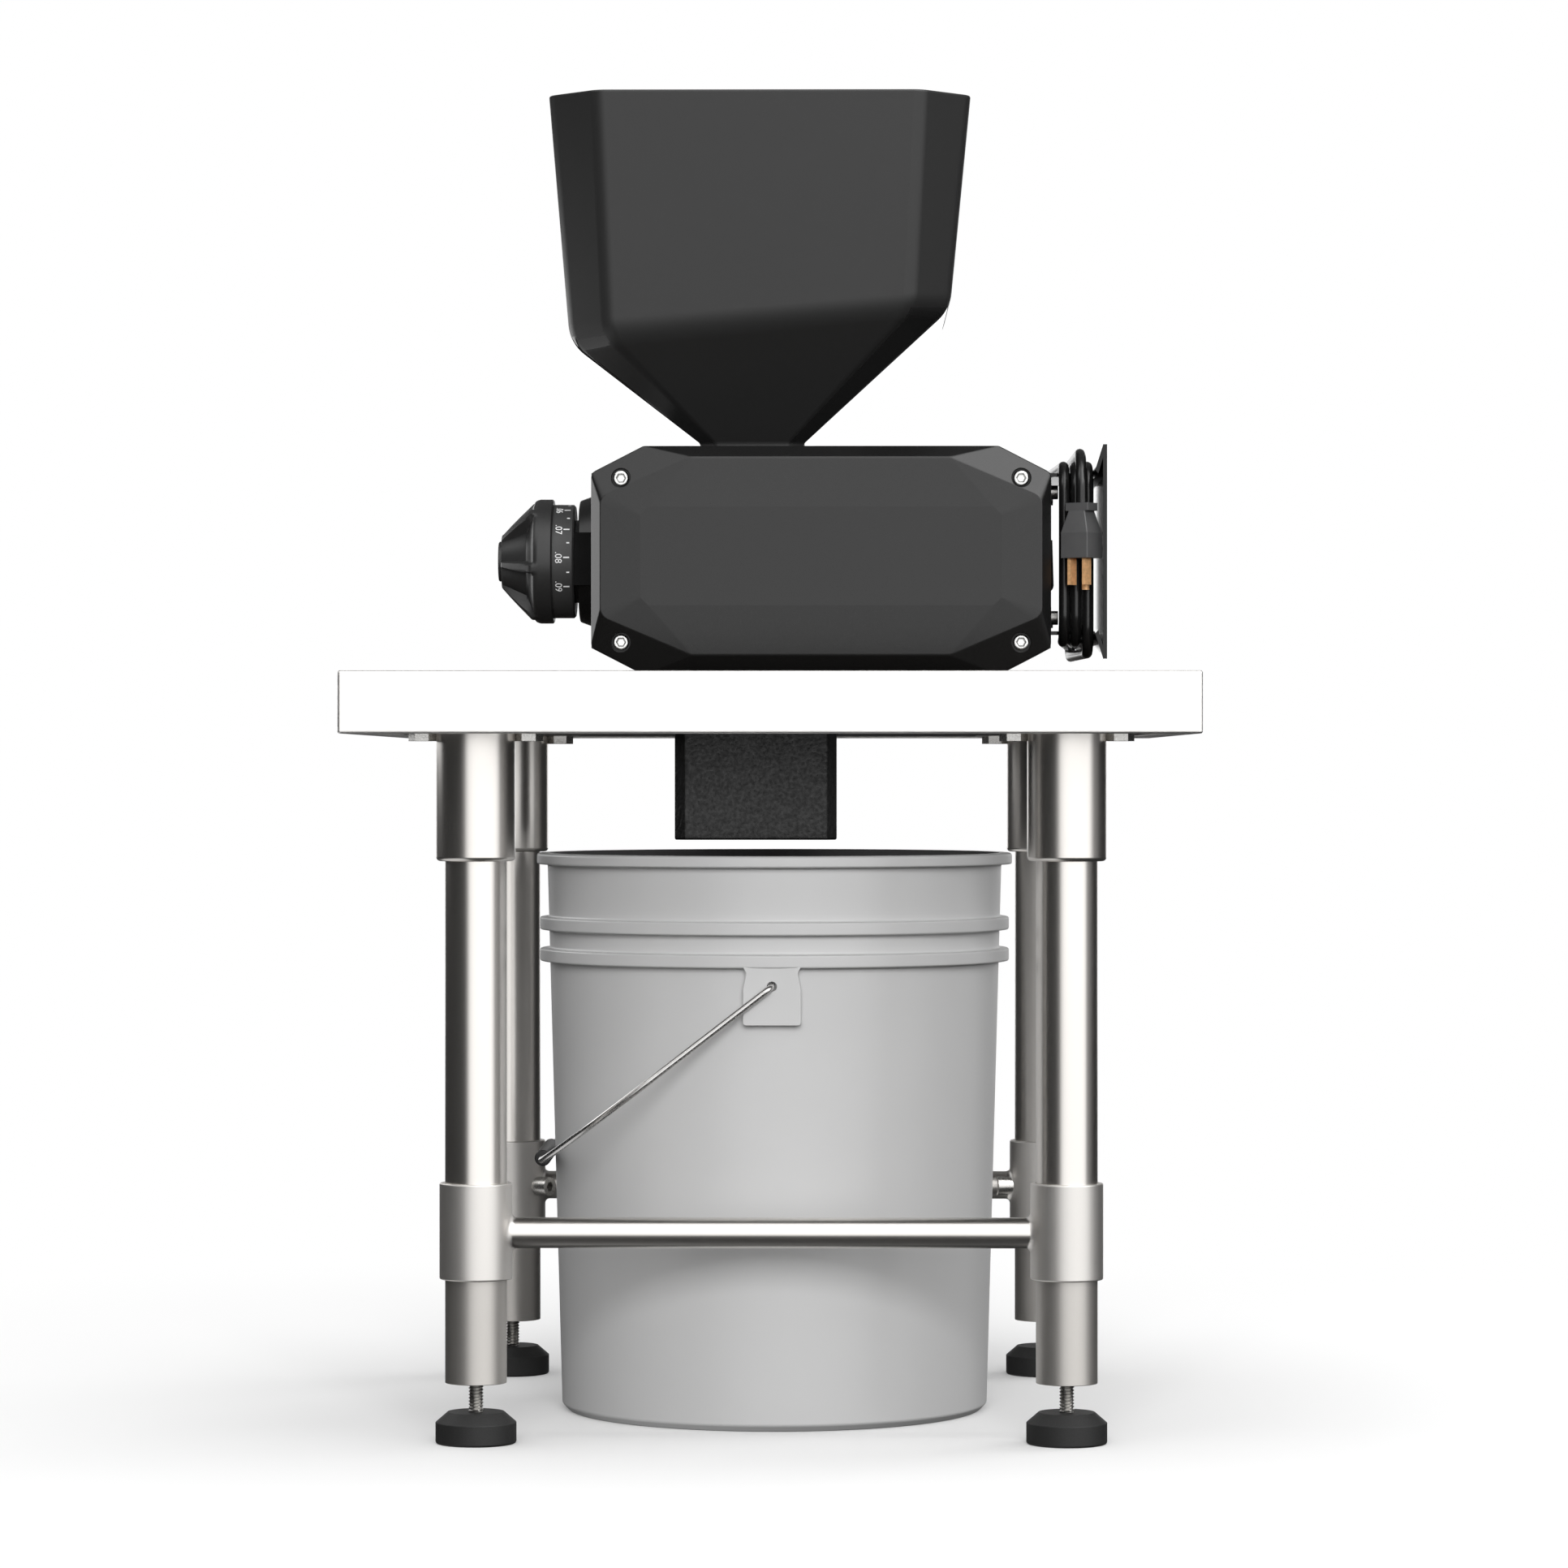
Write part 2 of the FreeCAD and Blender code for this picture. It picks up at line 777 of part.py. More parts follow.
cover_screw_places = [
    (x, z)
    for x in (s.mill_left + s.cover_screw_inset_x, s.mill_right - s.cover_screw_inset_x)
    for z in (s.table_height + s.cover_screw_inset_z, mill_top - s.cover_screw_inset_z)
]
cover_front = s.mill_front - s.cover_rim - s.cover_rise
cover_back = s.mill_back + s.cover_rim + s.back_rise
wrap_screw_z = (wrap_top - s.wrap_tab / 2 - s.wrap_sheet, wrap_bottom + s.wrap_tab / 2 + s.wrap_sheet)
wrap_screw_places = [(side * s.wrap_screw_span / 2, z) for side in (-1, 1) for z in wrap_screw_z]


def screw_rounds(radius):
    return [(x, z, radius) for x, z in cover_screw_places]


def make_casing():
    body = new_body("Casing")
    depth = s.mill_back - s.mill_front
    pad(body, outline(body, "XZ_Plane", casing_octagon(), -s.mill_back), depth)
    pocket(body, outline(body, "XZ_Plane", casing_octagon(s.casing_wall), -s.mill_back), depth, back=True)
    boss = s.cover_screw_grip + 2
    for low in (s.mill_front + boss, s.mill_back):
        pad(body, circles(body, "XZ_Plane", screw_rounds(s.cover_boss_radius), -low), boss)
    tap = screw_rounds(s.cover_screw_shank / 2 + s.slip_gap)
    pocket(body, circles(body, "XZ_Plane", tap, -s.mill_front), s.cover_screw_grip)
    pocket(body, circles(body, "XZ_Plane", tap, -s.mill_back), s.cover_screw_grip, back=True)
    neck_x = s.throat_width / 2 + s.run_gap
    neck_y = s.throat_depth / 2 + s.run_gap
    pocket(body, rectangle(body, "XY_Plane", s.throat_x - neck_x, s.throat_x + neck_x, -neck_y, neck_y,
                           mill_ceiling), s.casing_wall, back=True)
    out_y = s.chute_depth / 2 + s.run_gap
    pocket(body, rectangle(body, "XY_Plane", chute_left - s.run_gap, chute_right + s.run_gap, -out_y, out_y,
                           s.table_height), s.casing_wall, back=True)
    bolt_holes(body, s.table_height, s.casing_wall)
    hopper_taps = [(x, y, s.small_screw / 2 + s.slip_gap) for x, y in hopper_screw_places]
    pocket(body, circles(body, "XY_Plane", hopper_taps, mill_ceiling), s.casing_wall, back=True)
    spindle = [(0, axis_height, s.screw_diameter / 2 + s.run_gap)]
    pocket(body, circles(body, "YZ_Plane", spindle, s.mill_left), s.casing_wall, back=True)
    side = [(s.gland_y, gland_height, s.gland_radius + s.slip_gap)]
    side += [(y, z, s.small_screw / 2 + s.slip_gap) for y, z in wrap_screw_places]
    pocket(body, circles(body, "YZ_Plane", side, s.mill_right - s.casing_wall), s.casing_wall, back=True)
    keep(body, "mill_casing")


def make_front_cover():
    body = new_body("FrontCover")
    rim = s.mill_front - s.cover_rim
    pad(body, outline(body, "XZ_Plane", casing_octagon(), -s.mill_front), s.cover_rim)
    face = loft(body, outline(body, "XZ_Plane", casing_octagon(), -rim),
                outline(body, "XZ_Plane", panel_octagon(), -cover_front))
    front = float(cover_front)
    fillet(body, face, s.panel_radius, lambda edge: edge.BoundBox.YMax < front + 0.1)
    hollow = octagon(s.mill_left + s.cover_hollow_inset, s.mill_right - s.cover_hollow_inset,
                     s.table_height + s.cover_hollow_inset + 4, mill_top - s.cover_hollow_inset,
                     s.panel_corner_x, s.panel_corner_z)
    pocket(body, outline(body, "XZ_Plane", hollow, -s.mill_front), s.cover_rim + s.cover_rise - s.cover_skin,
           back=True)
    seat = s.mill_front - s.cover_screw_seat
    pocket(body, circles(body, "XZ_Plane", screw_rounds(s.cover_screw_recess / 2), -cover_front),
           seat - cover_front)
    pocket(body, circles(body, "XZ_Plane", screw_rounds(s.cover_screw_shank / 2 + s.slip_gap), -seat),
           s.cover_screw_seat)
    keep(body, "front_cover")


def make_rear_cover():
    body = new_body("RearCover")
    rim = s.mill_back + s.cover_rim
    pad(body, outline(body, "XZ_Plane", casing_octagon(), -rim), s.cover_rim)
    loft(body, outline(body, "XZ_Plane", casing_octagon(), -rim),
         outline(body, "XZ_Plane", panel_octagon(), -cover_back))
    seat = s.mill_back + s.cover_screw_seat
    pocket(body, circles(body, "XZ_Plane", screw_rounds(s.cover_screw_recess / 2), -cover_back),
           cover_back - seat, back=True)
    pocket(body, circles(body, "XZ_Plane", screw_rounds(s.cover_screw_shank / 2 + s.slip_gap), -seat),
           s.cover_screw_seat, back=True)
    half_x = s.switch_width / 2 - s.switch_frame + s.slip_gap
    half_z = s.switch_height / 2 - s.switch_frame + s.slip_gap
    pocket(body, rectangle(body, "XZ_Plane", s.switch_x - half_x, s.switch_x + half_x, axis_height - half_z,
                           axis_height + half_z, -cover_back), cover_back - s.mill_back, back=True)
    keep(body, "rear_cover")


def make_cover_screws():
    screws = []
    grip = s.cover_screw_seat + s.cover_screw_grip - 1
    for x, z in cover_screw_places:
        for y, turn in ((s.mill_front - s.cover_screw_seat, Rotation(Vector(1, 0, 0), 90)),
                        (s.mill_back + s.cover_screw_seat, ALONG_Y)):
            screws.append(socket_screw("CoverScrew", s.cover_screw_head, s.cover_screw_head_length,
                                       s.cover_screw_shank, grip, x, y, z, turn))
    keep(group("CoverScrews", *screws), "cover_screws")


def make_mill_bolts():
    bolts = [socket_screw("MillBolt", s.mill_bolt_head, s.mill_bolt_diameter, s.mill_bolt_diameter,
                          s.casing_wall + s.table_sheet + s.mill_bolt_bite - 1, x, y, mill_floor, ALONG_Z)
             for x, y in bolt_places]
    keep(group("MillBolts", *bolts), "mill_bolts")


# Discharge chute, hung by its flange on the casing floor

def make_chute():
    body = new_body("Chute")
    half_y = s.chute_depth / 2
    tube = pad(body, rectangle(body, "XY_Plane", chute_left, chute_right, -half_y, half_y, chute_bottom),
               mill_floor - chute_bottom)
    fillet(body, tube, s.chute_corner, lambda edge: edge.BoundBox.ZLength > 1)
    pad(body, rectangle(body, "XY_Plane", chute_left - s.chute_flange, chute_right + s.chute_flange,
                        -half_y - s.chute_flange, half_y + s.chute_flange, mill_floor), s.chute_flange_thick)
    pocket(body, rectangle(body, "XY_Plane", chute_left + s.chute_wall, chute_right - s.chute_wall,
                           s.chute_wall - half_y, half_y - s.chute_wall, chute_bottom),
           mill_floor + s.chute_flange_thick - chute_bottom, back=True)
    keep(body, "chute")


# Rollers, end plates and the sliding yoke

idle_x = s.drive_x - s.roller_diameter - s.roller_gap
motor_x = s.drive_x + s.gear_module * (s.gear_teeth + s.pinion_teeth) / 2
plate_outside = s.plate_inside + s.plate_thick
yoke_nose = idle_x + s.yoke_nose
yoke_left = idle_x - s.yoke_back
yoke_right = yoke_left + s.yoke_bar
gear_low = plate_outside + s.gear_stand
gear_high = gear_low + s.gear_face


def make_end_plate(row, high):
    body = new_body("EndPlate")
    left = idle_x - s.plate_edge
    right = s.mill_right - s.casing_wall
    slot_end = yoke_nose + s.yoke_room
    half = s.yoke_height / 2 + s.slip_gap
    pad(body, outline(body, "XZ_Plane", [
        (left, mill_floor),
        (right - s.mill_corner_x, mill_floor),
        (right, mill_floor + s.mill_corner_z),
        (right, mill_ceiling - s.mill_corner_z),
        (right - s.mill_corner_x, mill_ceiling),
        (left, mill_ceiling),
        (left, axis_height + half),
        (slot_end, axis_height + half),
        (slot_end, axis_height - half),
        (left, axis_height - half),
    ], -high), s.plate_thick)
    holes = [(s.drive_x, axis_height, s.drive_bearing / 2 + s.slip_gap)]
    if row == "rear":
        holes.append((motor_x, axis_height, s.motor_shaft / 2 + s.run_gap))
    pocket(body, circles(body, "XZ_Plane", holes, -high), s.plate_thick, back=True)
    keep(body, row + "_end_plate")


def ring(name, radius, bore, length, x, y):
    outer = cylinder(name, radius, length, x, y, axis_height, ALONG_Y)
    inner = cylinder(name + "Bore", bore, length, x, y, axis_height, ALONG_Y)
    return cut(name + "Ring", outer, inner)


def make_bearings(label, radius, shaft, x):
    rings = [ring("Bearing", radius, shaft / 2 + s.slip_gap, s.plate_thick, x, y)
             for y in (-plate_outside, s.plate_inside)]
    keep(group("Bearings", *rings), label)


def fluted_barrel(name, x):
    """Roller barrel with V flutes along its length."""
    radius = float(s.roller_diameter) / 2
    count = int(round(float(s.flute_count)))
    step = 2 * math.pi / count
    points = []
    for index in range(count):
        for share, depth in ((0.0, 0.0), (0.6, 0.0), (0.8, float(s.flute_depth))):
            angle = (index + share) * step
            reach = radius - depth
            points.append(Vector(reach * math.cos(angle), 0, reach * math.sin(angle)))
    face = Part.Face(Part.makePolygon(points + [points[0]]))
    barrel = solid(name, face.extrude(Vector(0, float(s.roller_length), 0)))
    place(barrel, x, -s.roller_length / 2, axis_height)
    return barrel


def make_roller(label, x, shaft, low, high):
    stem = cylinder("RollerShaft", shaft / 2, high - low, x, low, axis_height, ALONG_Y)
    keep(fuse("Roller", fluted_barrel("RollerBarrel", x), stem), label)


def make_yoke():
    body = new_body("Yoke")
    pad(body, outline(body, "XY_Plane", [
        (yoke_left, -plate_outside),
        (yoke_nose, -plate_outside),
        (yoke_nose, -s.plate_inside),
        (yoke_right, -s.plate_inside),
        (yoke_right, s.plate_inside),
        (yoke_nose, s.plate_inside),
        (yoke_nose, plate_outside),
        (yoke_left, plate_outside),
    ], axis_height - s.yoke_height / 2), s.yoke_height)
    pocket(body, circles(body, "XZ_Plane", [(idle_x, axis_height, s.idle_bearing / 2 + s.slip_gap)],
                         -plate_outside), 2 * plate_outside, back=True)
    pocket(body, circles(body, "YZ_Plane", [(0, axis_height, s.screw_diameter / 2 + s.slip_gap)], yoke_left),
           s.yoke_bar, back=True)
    keep(body, "roller_yoke")


# Gears, with involute flanks

def gear_outline(teeth, pressure=math.radians(20)):
    """Corner points of a spur gear about the Y axis, with a tooth on the +X side."""
    module = float(s.gear_module)
    pitch = module * teeth / 2
    base = pitch * math.cos(pressure)
    root = pitch - 1.25 * module
    tip = pitch + 0.95 * module
    half_tooth = (math.pi * module / 2 - float(s.gear_backlash)) / (2 * pitch)

    def half_angle(radius):
        slant = math.acos(min(1.0, base / radius))
        return half_tooth + (math.tan(pressure) - pressure) - (math.tan(slant) - slant)

    low = max(base, root)
    flank = [root] + [low + (tip - low) * share for share in (0.0, 0.3, 0.65, 1.0)]
    points = []
    for index in range(teeth):
        middle = 2 * math.pi * index / teeth
        rising = [(radius, middle - half_angle(max(radius, low))) for radius in flank]
        falling = [(radius, 2 * middle - angle) for radius, angle in reversed(rising)]
        points += [Vector(radius * math.cos(angle), 0, radius * math.sin(angle))
                   for radius, angle in rising + falling]
    return points


def gear_blank(name, teeth, x):
    points = gear_outline(int(round(float(teeth))))
    face = Part.Face(Part.makePolygon(points + [points[0]]))
    blank = solid(name, face.extrude(Vector(0, float(s.gear_face), 0)))
    place(blank, x, gear_low, axis_height)
    return blank


def make_gears():
    hole = cylinder("GearBore", s.drive_shaft / 2 + s.slip_gap, s.gear_face, s.drive_x, gear_low,
                    axis_height, ALONG_Y)
    keep(cut("DriveGear", gear_blank("GearBlank", s.gear_teeth, s.drive_x), hole), "drive_gear")
    inside = s.plate_inside - s.motor_shaft_bury
    stem = cylinder("MotorShaft", s.motor_shaft / 2, gear_high - inside, motor_x, inside, axis_height, ALONG_Y)
    keep(fuse("Pinion", gear_blank("PinionBlank", s.pinion_teeth, motor_x), stem), "motor_pinion")


def make_motor():
    body = new_body("Motor", motor_x, 0, axis_height)
    radius = s.motor_diameter / 2
    bell = radius - s.motor_bell / 2
    bore = s.motor_shaft / 2 + s.slip_gap
    near = s.plate_inside - s.motor_length
    well = s.plate_inside - s.motor_shaft_bury - 1
    profile = outline(body, "XY_Plane", [
        (bore, s.plate_inside),
        (bell, s.plate_inside),
        (bell, s.plate_inside - s.motor_bell),
        (radius, s.plate_inside - s.motor_bell),
        (radius, near + s.motor_bell),
        (bell, near + s.motor_bell),
        (bell, near),
        (0, near),
        (0, well),
        (bore, well),
    ])
    revolve(body, profile, "V_Axis")
    keep(body, "motor")


# Gap adjuster: knob, dial, spindle, flange and pointer

knob_shoulder = s.knob_tip + s.knob_nose
knob_back = knob_shoulder + s.knob_cone + s.knob_band
dial_end = knob_back + s.dial_width
neck_end = dial_end + s.neck_width
flange_face = neck_end + s.run_gap


def make_knob():
    body = new_body("Knob", 0, 0, axis_height)
    body.Placement = Placement(Vector(), Rotation(Vector(1, 0, 0), float(s.knob_rib_turn)))
    bind(body, "Placement.Rotation.Angle", s.knob_rib_turn)
    bore = s.screw_diameter / 2 + s.slip_gap
    profile = outline(body, "XZ_Plane", [
        (s.knob_tip, 0),
        (s.knob_tip, s.knob_nose_radius),
        (knob_shoulder, s.knob_nose_radius),
        (knob_shoulder, s.knob_cone_radius),
        (knob_shoulder + s.knob_cone, s.knob_radius),
        (knob_back, s.knob_radius),
        (knob_back, s.neck_radius),
        (neck_end, s.neck_radius),
        (neck_end, bore),
        (knob_back - s.screw_bury, bore),
        (knob_back - s.screw_bury, 0),
    ])
    revolve(body, profile, "H_Axis")
    collar = knob_back - s.scallop_collar
    scallop = outline(body, "XZ_Plane", [
        (knob_shoulder - 0.5, s.knob_cone_radius - s.scallop_root),
        (knob_shoulder + 0.75 * s.knob_cone, s.knob_radius - s.scallop_deep),
        (collar - s.scallop_collar, s.knob_radius - 1.4 * s.scallop_shallow),
        (collar, s.knob_radius - s.scallop_shallow),
        (collar, s.knob_radius + 5),
        (knob_shoulder - 0.5, s.knob_radius + 5),
    ])
    groove = revolve(body, scallop, "H_Axis", "PartDesign::Groove")
    groove.Midplane = True
    bind(groove, "Angle", s.scallop_angle)
    axis = [item for item in body.Origin.OriginFeatures if item.Role == "X_Axis"][0]
    pattern = body.newObject("PartDesign::PolarPattern", "Scallops")
    pattern.Originals = [groove]
    pattern.Axis = (axis, [""])
    pattern.Angle = 360
    bind(pattern, "Occurrences", s.knob_ribs)
    body.Tip = pattern
    keep(body, "knob")


def make_dial_ring():
    body = new_body("DialRing", 0, 0, axis_height)
    profile = rectangle(body, "XZ_Plane", knob_back, dial_end, s.neck_radius + s.slip_gap, s.dial_radius)
    revolve(body, profile, "H_Axis")
    keep(body, "dial_ring")


def make_spindle():
    start = knob_back - s.screw_bury
    spindle = cylinder("Spindle", s.screw_diameter / 2, yoke_right + s.screw_past - start, start, 0,
                       axis_height, ALONG_X)
    keep(spindle, "adjusting_screw")


def make_knob_flange():
    body = new_body("KnobFlange", 0, 0, axis_height)
    bore = s.screw_diameter / 2 + s.slip_gap
    profile = outline(body, "XZ_Plane", [
        (flange_face, bore),
        (flange_face, s.flange_radius),
        (s.mill_left, s.flange_foot_radius),
        (s.mill_left, bore),
    ])
    revolve(body, profile, "H_Axis")
    keep(body, "knob_flange")


def make_pointer():
    body = new_body("Pointer", 0, 0, axis_height)
    start = flange_face - s.pointer_reach
    half = s.pointer_height / 2
    pad(body, rectangle(body, "XZ_Plane", start, s.mill_left, -half, half, s.pointer_face),
        s.pointer_face / 2, back=True)
    clear = s.dial_radius + s.run_gap
    hollow = outline(body, "XZ_Plane", [
        (start - 1, 0),
        (start - 1, clear),
        (flange_face, clear),
        (flange_face, s.flange_radius),
        (s.mill_left, s.flange_foot_radius),
        (s.mill_left + 1, s.flange_foot_radius),
        (s.mill_left + 1, 0),
    ])
    revolve(body, hollow, "H_Axis", "PartDesign::Groove")
    keep(body, "pointer_block")


# Hopper: eight-sided, drawn in below a slanted bend to the throat

throat_high = mill_top + s.throat_rise
throat_low = mill_top - s.throat_dip
hopper_screw_places = [
    (s.throat_x + side * s.hopper_screw_span / 2, (s.throat_depth + s.hopper_tab) / 2)
    for side in (-1, 1)
]


def hopper_ring(width, depth, corner, radius, x, z, tilt=0.0):
    """Wire of an octagon with cut corners and rounded tips, in a plane tilted about Y."""
    half_x = width / 2 / math.cos(math.radians(tilt))
    half_y = depth / 2
    tips = [Vector(side_x * (half_x - cut_x), side_y * (half_y - cut_y), 0)
            for side_x, side_y, cut_x, cut_y in (
                (1, -1, corner, 0), (1, -1, 0, corner), (1, 1, 0, corner), (1, 1, corner, 0),
                (-1, 1, corner, 0), (-1, 1, 0, corner), (-1, -1, 0, corner), (-1, -1, corner, 0))]
    trim = radius * math.tan(math.pi / 8)
    bulge = radius / math.cos(math.pi / 8) - radius
    arcs = []
    for index, tip in enumerate(tips):
        back = (tips[index - 1] - tip).normalize()
        ahead = (tips[(index + 1) % 8] - tip).normalize()
        inward = (back + ahead).normalize()
        arcs.append((tip + back * trim, tip + inward * bulge, tip + ahead * trim))
    edges = []
    for index, (start, middle, end) in enumerate(arcs):
        edges.append(Part.Arc(start, middle, end).toShape())
        edges.append(Part.LineSegment(end, arcs[(index + 1) % 8][0]).toShape())
    wire = Part.Wire(edges)
    wire.Placement = Placement(Vector(x, 0, z), Rotation(Vector(0, 1, 0), -tilt))
    return wire


def hopper_form(inset, past):
    """Solid of the hopper drawn in by inset, and carried past both ends."""
    grow = 2 * inset
    throat = (float(s.throat_width) - grow, float(s.throat_depth) - grow, float(s.throat_corner),
              float(s.throat_radius), float(s.throat_x))
    top = (float(s.hopper_width) - grow, float(s.hopper_depth) - grow, float(s.hopper_corner),
           float(s.hopper_radius), float(s.hopper_x))
    bend = (float(s.hopper_bend_width) - grow, float(s.hopper_bend_depth) - grow,
            float(s.hopper_bend_corner), float(s.hopper_radius), float(s.hopper_x))
    rings = [
        hopper_ring(*throat, float(throat_low) - past),
        hopper_ring(*throat, float(throat_high)),
        hopper_ring(*bend, float(mill_top + s.hopper_bend_rise), float(s.hopper_bend_tilt)),
        hopper_ring(*top, float(mill_top + s.hopper_rise) + past),
    ]
    return Part.makeLoft(rings, True, True)


def make_hopper():
    shell = solid("HopperShell", hopper_form(0.0, 0.0))
    hollow = solid("HopperHollow", hopper_form(float(s.hopper_wall), 1.0))
    half_x = s.throat_width / 2 - s.throat_corner
    reach = s.throat_depth / 2 + s.hopper_tab
    tab = block("HopperTab", 2 * half_x, reach, s.hopper_tab_thick, s.throat_x - half_x, 0, mill_top)
    holes = [cylinder("HopperHole", s.small_screw / 2 + s.slip_gap, s.hopper_tab_thick, x, y, mill_top)
             for x, y in hopper_screw_places]
    keep(cut("Hopper", fuse("HopperBlank", shell, tab), hollow, *holes), "hopper")
    screws = [socket_screw("HopperScrew", s.small_screw_head, s.small_screw, s.small_screw,
                           s.hopper_tab_thick + s.casing_wall, x, y, mill_top + s.hopper_tab_thick, ALONG_Z)
              for x, y in hopper_screw_places]
    keep(group("HopperScrews", *screws), "hopper_screws")


# Cord wrap on the right side: two arms, and a plate with flared ends that keeps the turns on

wrap_arm_end = s.mill_right + s.wrap_arm_length
wrap_face = s.mill_right + s.wrap_plate_x
wrap_inner = wrap_face - s.wrap_sheet


def make_cord_wrap():
    body = new_body("CordWrap")
    for level, way in ((wrap_top, -1), (wrap_bottom, 1)):
        arm = outline(body, "XZ_Plane", [
            (s.mill_right, level),
            (wrap_arm_end, level),
            (wrap_arm_end + s.wrap_flare_foot, level + way * s.wrap_sheet),
            (s.mill_right + s.wrap_sheet, level + way * s.wrap_sheet),
            (s.mill_right + s.wrap_sheet, level + way * s.wrap_tab),
            (s.mill_right, level + way * s.wrap_tab),
        ], -s.wrap_arm_depth / 2)
        pad(body, arm, s.wrap_arm_depth)
        if way < 0:
            make_wrap_plate(body)
    taps = [(y, z, s.small_screw / 2 + s.slip_gap) for y, z in wrap_screw_places]
    pocket(body, circles(body, "YZ_Plane", taps, s.mill_right), s.wrap_sheet, back=True)
    keep(body, "cord_wrap")


def make_wrap_plate(body):
    high = wrap_top + s.wrap_flare
    low = wrap_bottom - s.wrap_flare
    pad(body, outline(body, "XZ_Plane", [
        (wrap_arm_end, wrap_top),
        (wrap_inner, high),
        (wrap_face, high),
        (wrap_face, low),
        (wrap_inner, low),
        (wrap_arm_end, wrap_bottom),
        (wrap_arm_end + s.wrap_flare_foot, wrap_bottom + s.wrap_sheet),
        (wrap_inner, low + s.wrap_flare_lap),
        (wrap_inner, high - s.wrap_flare_lap),
        (wrap_arm_end + s.wrap_flare_foot, wrap_top - s.wrap_sheet),
    ], -s.wrap_depth / 2), s.wrap_depth)


def make_wrap_screws():
    screws = [socket_screw("WrapScrew", s.small_screw_head, s.small_screw, s.small_screw,
                           s.wrap_sheet + s.casing_wall, s.mill_right + s.wrap_sheet, y, z, ALONG_X)
              for y, z in wrap_screw_places]
    keep(group("WrapScrews", *screws), "wrap_screws")


# Supply cord: elbow gland, three turns on the wrap, then the plug in front

gland_axis = s.mill_right + s.gland_stand
wind_first = s.mill_right + s.wind_stand
wind_high = wrap_top + s.wind_room + s.cord_diameter / 2
wind_low = wrap_bottom - s.wind_room - s.cord_diameter / 2
cord_start = gland_height + s.gland_length
plug_top = wind_high - s.cord_corner - s.cord_diameter


def make_gland():
    stub = s.mill_right - s.casing_wall
    through = cylinder("GlandStub", s.gland_radius, gland_axis - stub, stub, s.gland_y, gland_height, ALONG_X)
    elbow = doc.addObject("Part::Sphere", "GlandElbow")
    bind(elbow, "Radius", s.gland_radius)
    place(elbow, gland_axis, s.gland_y, gland_height)
    tail = cone("GlandTail", s.gland_radius, s.gland_tip_radius, s.gland_length, gland_axis, s.gland_y,
                gland_height)
    keep(fuse("Gland", through, elbow, tail), "cord_gland")


class Route:
    """A cord's centre line, made of straight runs and arcs that follow on smoothly."""

    def __init__(self, start):
        self.at = start
        self.edges = []

    def run(self, end):
        self.edges.append(Part.LineSegment(self.at, end).toShape())
        self.at = end

    def turn(self, end, centre):
        """Quarter turn about a centre."""
        radius = (self.at - centre).Length
        middle = centre + ((self.at - centre) + (end - centre)).normalize() * radius
        self.edges.append(Part.Arc(self.at, middle, end).toShape())
        self.at = end

    def drift(self, end):
        """Run along Y that moves sideways along X, as two equal arcs."""
        start = self.at
        half_run = (end.y - start.y) / 2
        half_side = (end.x - start.x) / 2
        if abs(half_side) < 1e-6:
            self.run(end)
            return
        lean = 2 * math.atan2(half_side, abs(half_run))
        radius = abs(half_run) / math.sin(lean)
        along = math.copysign(radius * math.sin(lean / 2), half_run)
        side = radius * (1 - math.cos(lean / 2))
        middle = (start + end) / 2
        first = start + Vector(side, along, 0)
        last = end - Vector(side, along, 0)
        self.edges.append(Part.Arc(start, first, middle).toShape())
        self.edges.append(Part.Arc(middle, last, end).toShape())
        self.at = end


def cord_route():
    """From the gland up and over the wrap, three turns, then a last one over them to the plug."""
    bend = float(s.cord_corner)
    outer = bend + float(s.cord_layer)
    half = float(s.wind_depth) / 2
    rear = half - bend
    high = float(wind_high) - bend
    low = float(wind_low) + bend
    x = float(gland_axis)
    y = float(s.gland_y)
    turns = int(round(float(s.cord_turns)))
    route = Route(Vector(x, y, float(cord_start)))
    route.run(Vector(x, y, high))
    route.turn(Vector(x, y - bend, high + bend), Vector(x, y - bend, high))
    x = float(wind_first)
    for index in range(turns):
        last = index == turns - 1
        route.drift(Vector(x, -rear, high + bend))
        route.turn(Vector(x, -half, high), Vector(x, -rear, high))
        # The last turn goes one layer further out along the bottom and the back.
        dip = low - float(s.cord_layer) if last else low
        route.run(Vector(x, -half, dip))
        route.turn(Vector(x, -rear, dip - bend), Vector(x, -rear, dip))
        x = float(s.mill_right + s.plug_x) if last else x + float(s.cord_pitch)
        reach = outer if last else bend
        route.drift(Vector(x, rear, dip - bend))
        route.turn(Vector(x, rear + reach, low), Vector(x, rear, low))
        route.run(Vector(x, rear + reach, high))
        route.turn(Vector(x, rear, high + reach), Vector(x, rear, high))
    y = float(s.plug_y) + outer
    route.run(Vector(x, y, high + outer))
    route.turn(Vector(x, y - outer, high), Vector(x, y, high))
    route.run(Vector(x, y - outer, float(plug_top)))
    return route.edges


def report_cord(edges):
    """Prints the length, the tightest bend and the least gap between the turns."""
    diameter = float(s.cord_diameter)
    radii = [edge.Curve.Radius for edge in edges if hasattr(edge.Curve, "Radius")]
    path = Part.Wire(edges)
    points = path.discretize(Distance=4.0)
    step = path.Length / (len(points) - 1)
    skip = int(4 * diameter / step)
    gaps = [(points[a] - points[b]).Length
            for a in range(len(points)) for b in range(a + skip, len(points))]
    print(f"cord length {path.Length:.0f}, tightest bend {min(radii):.1f}, "
          f"least gap to itself {min(gaps) - diameter:.2f}")


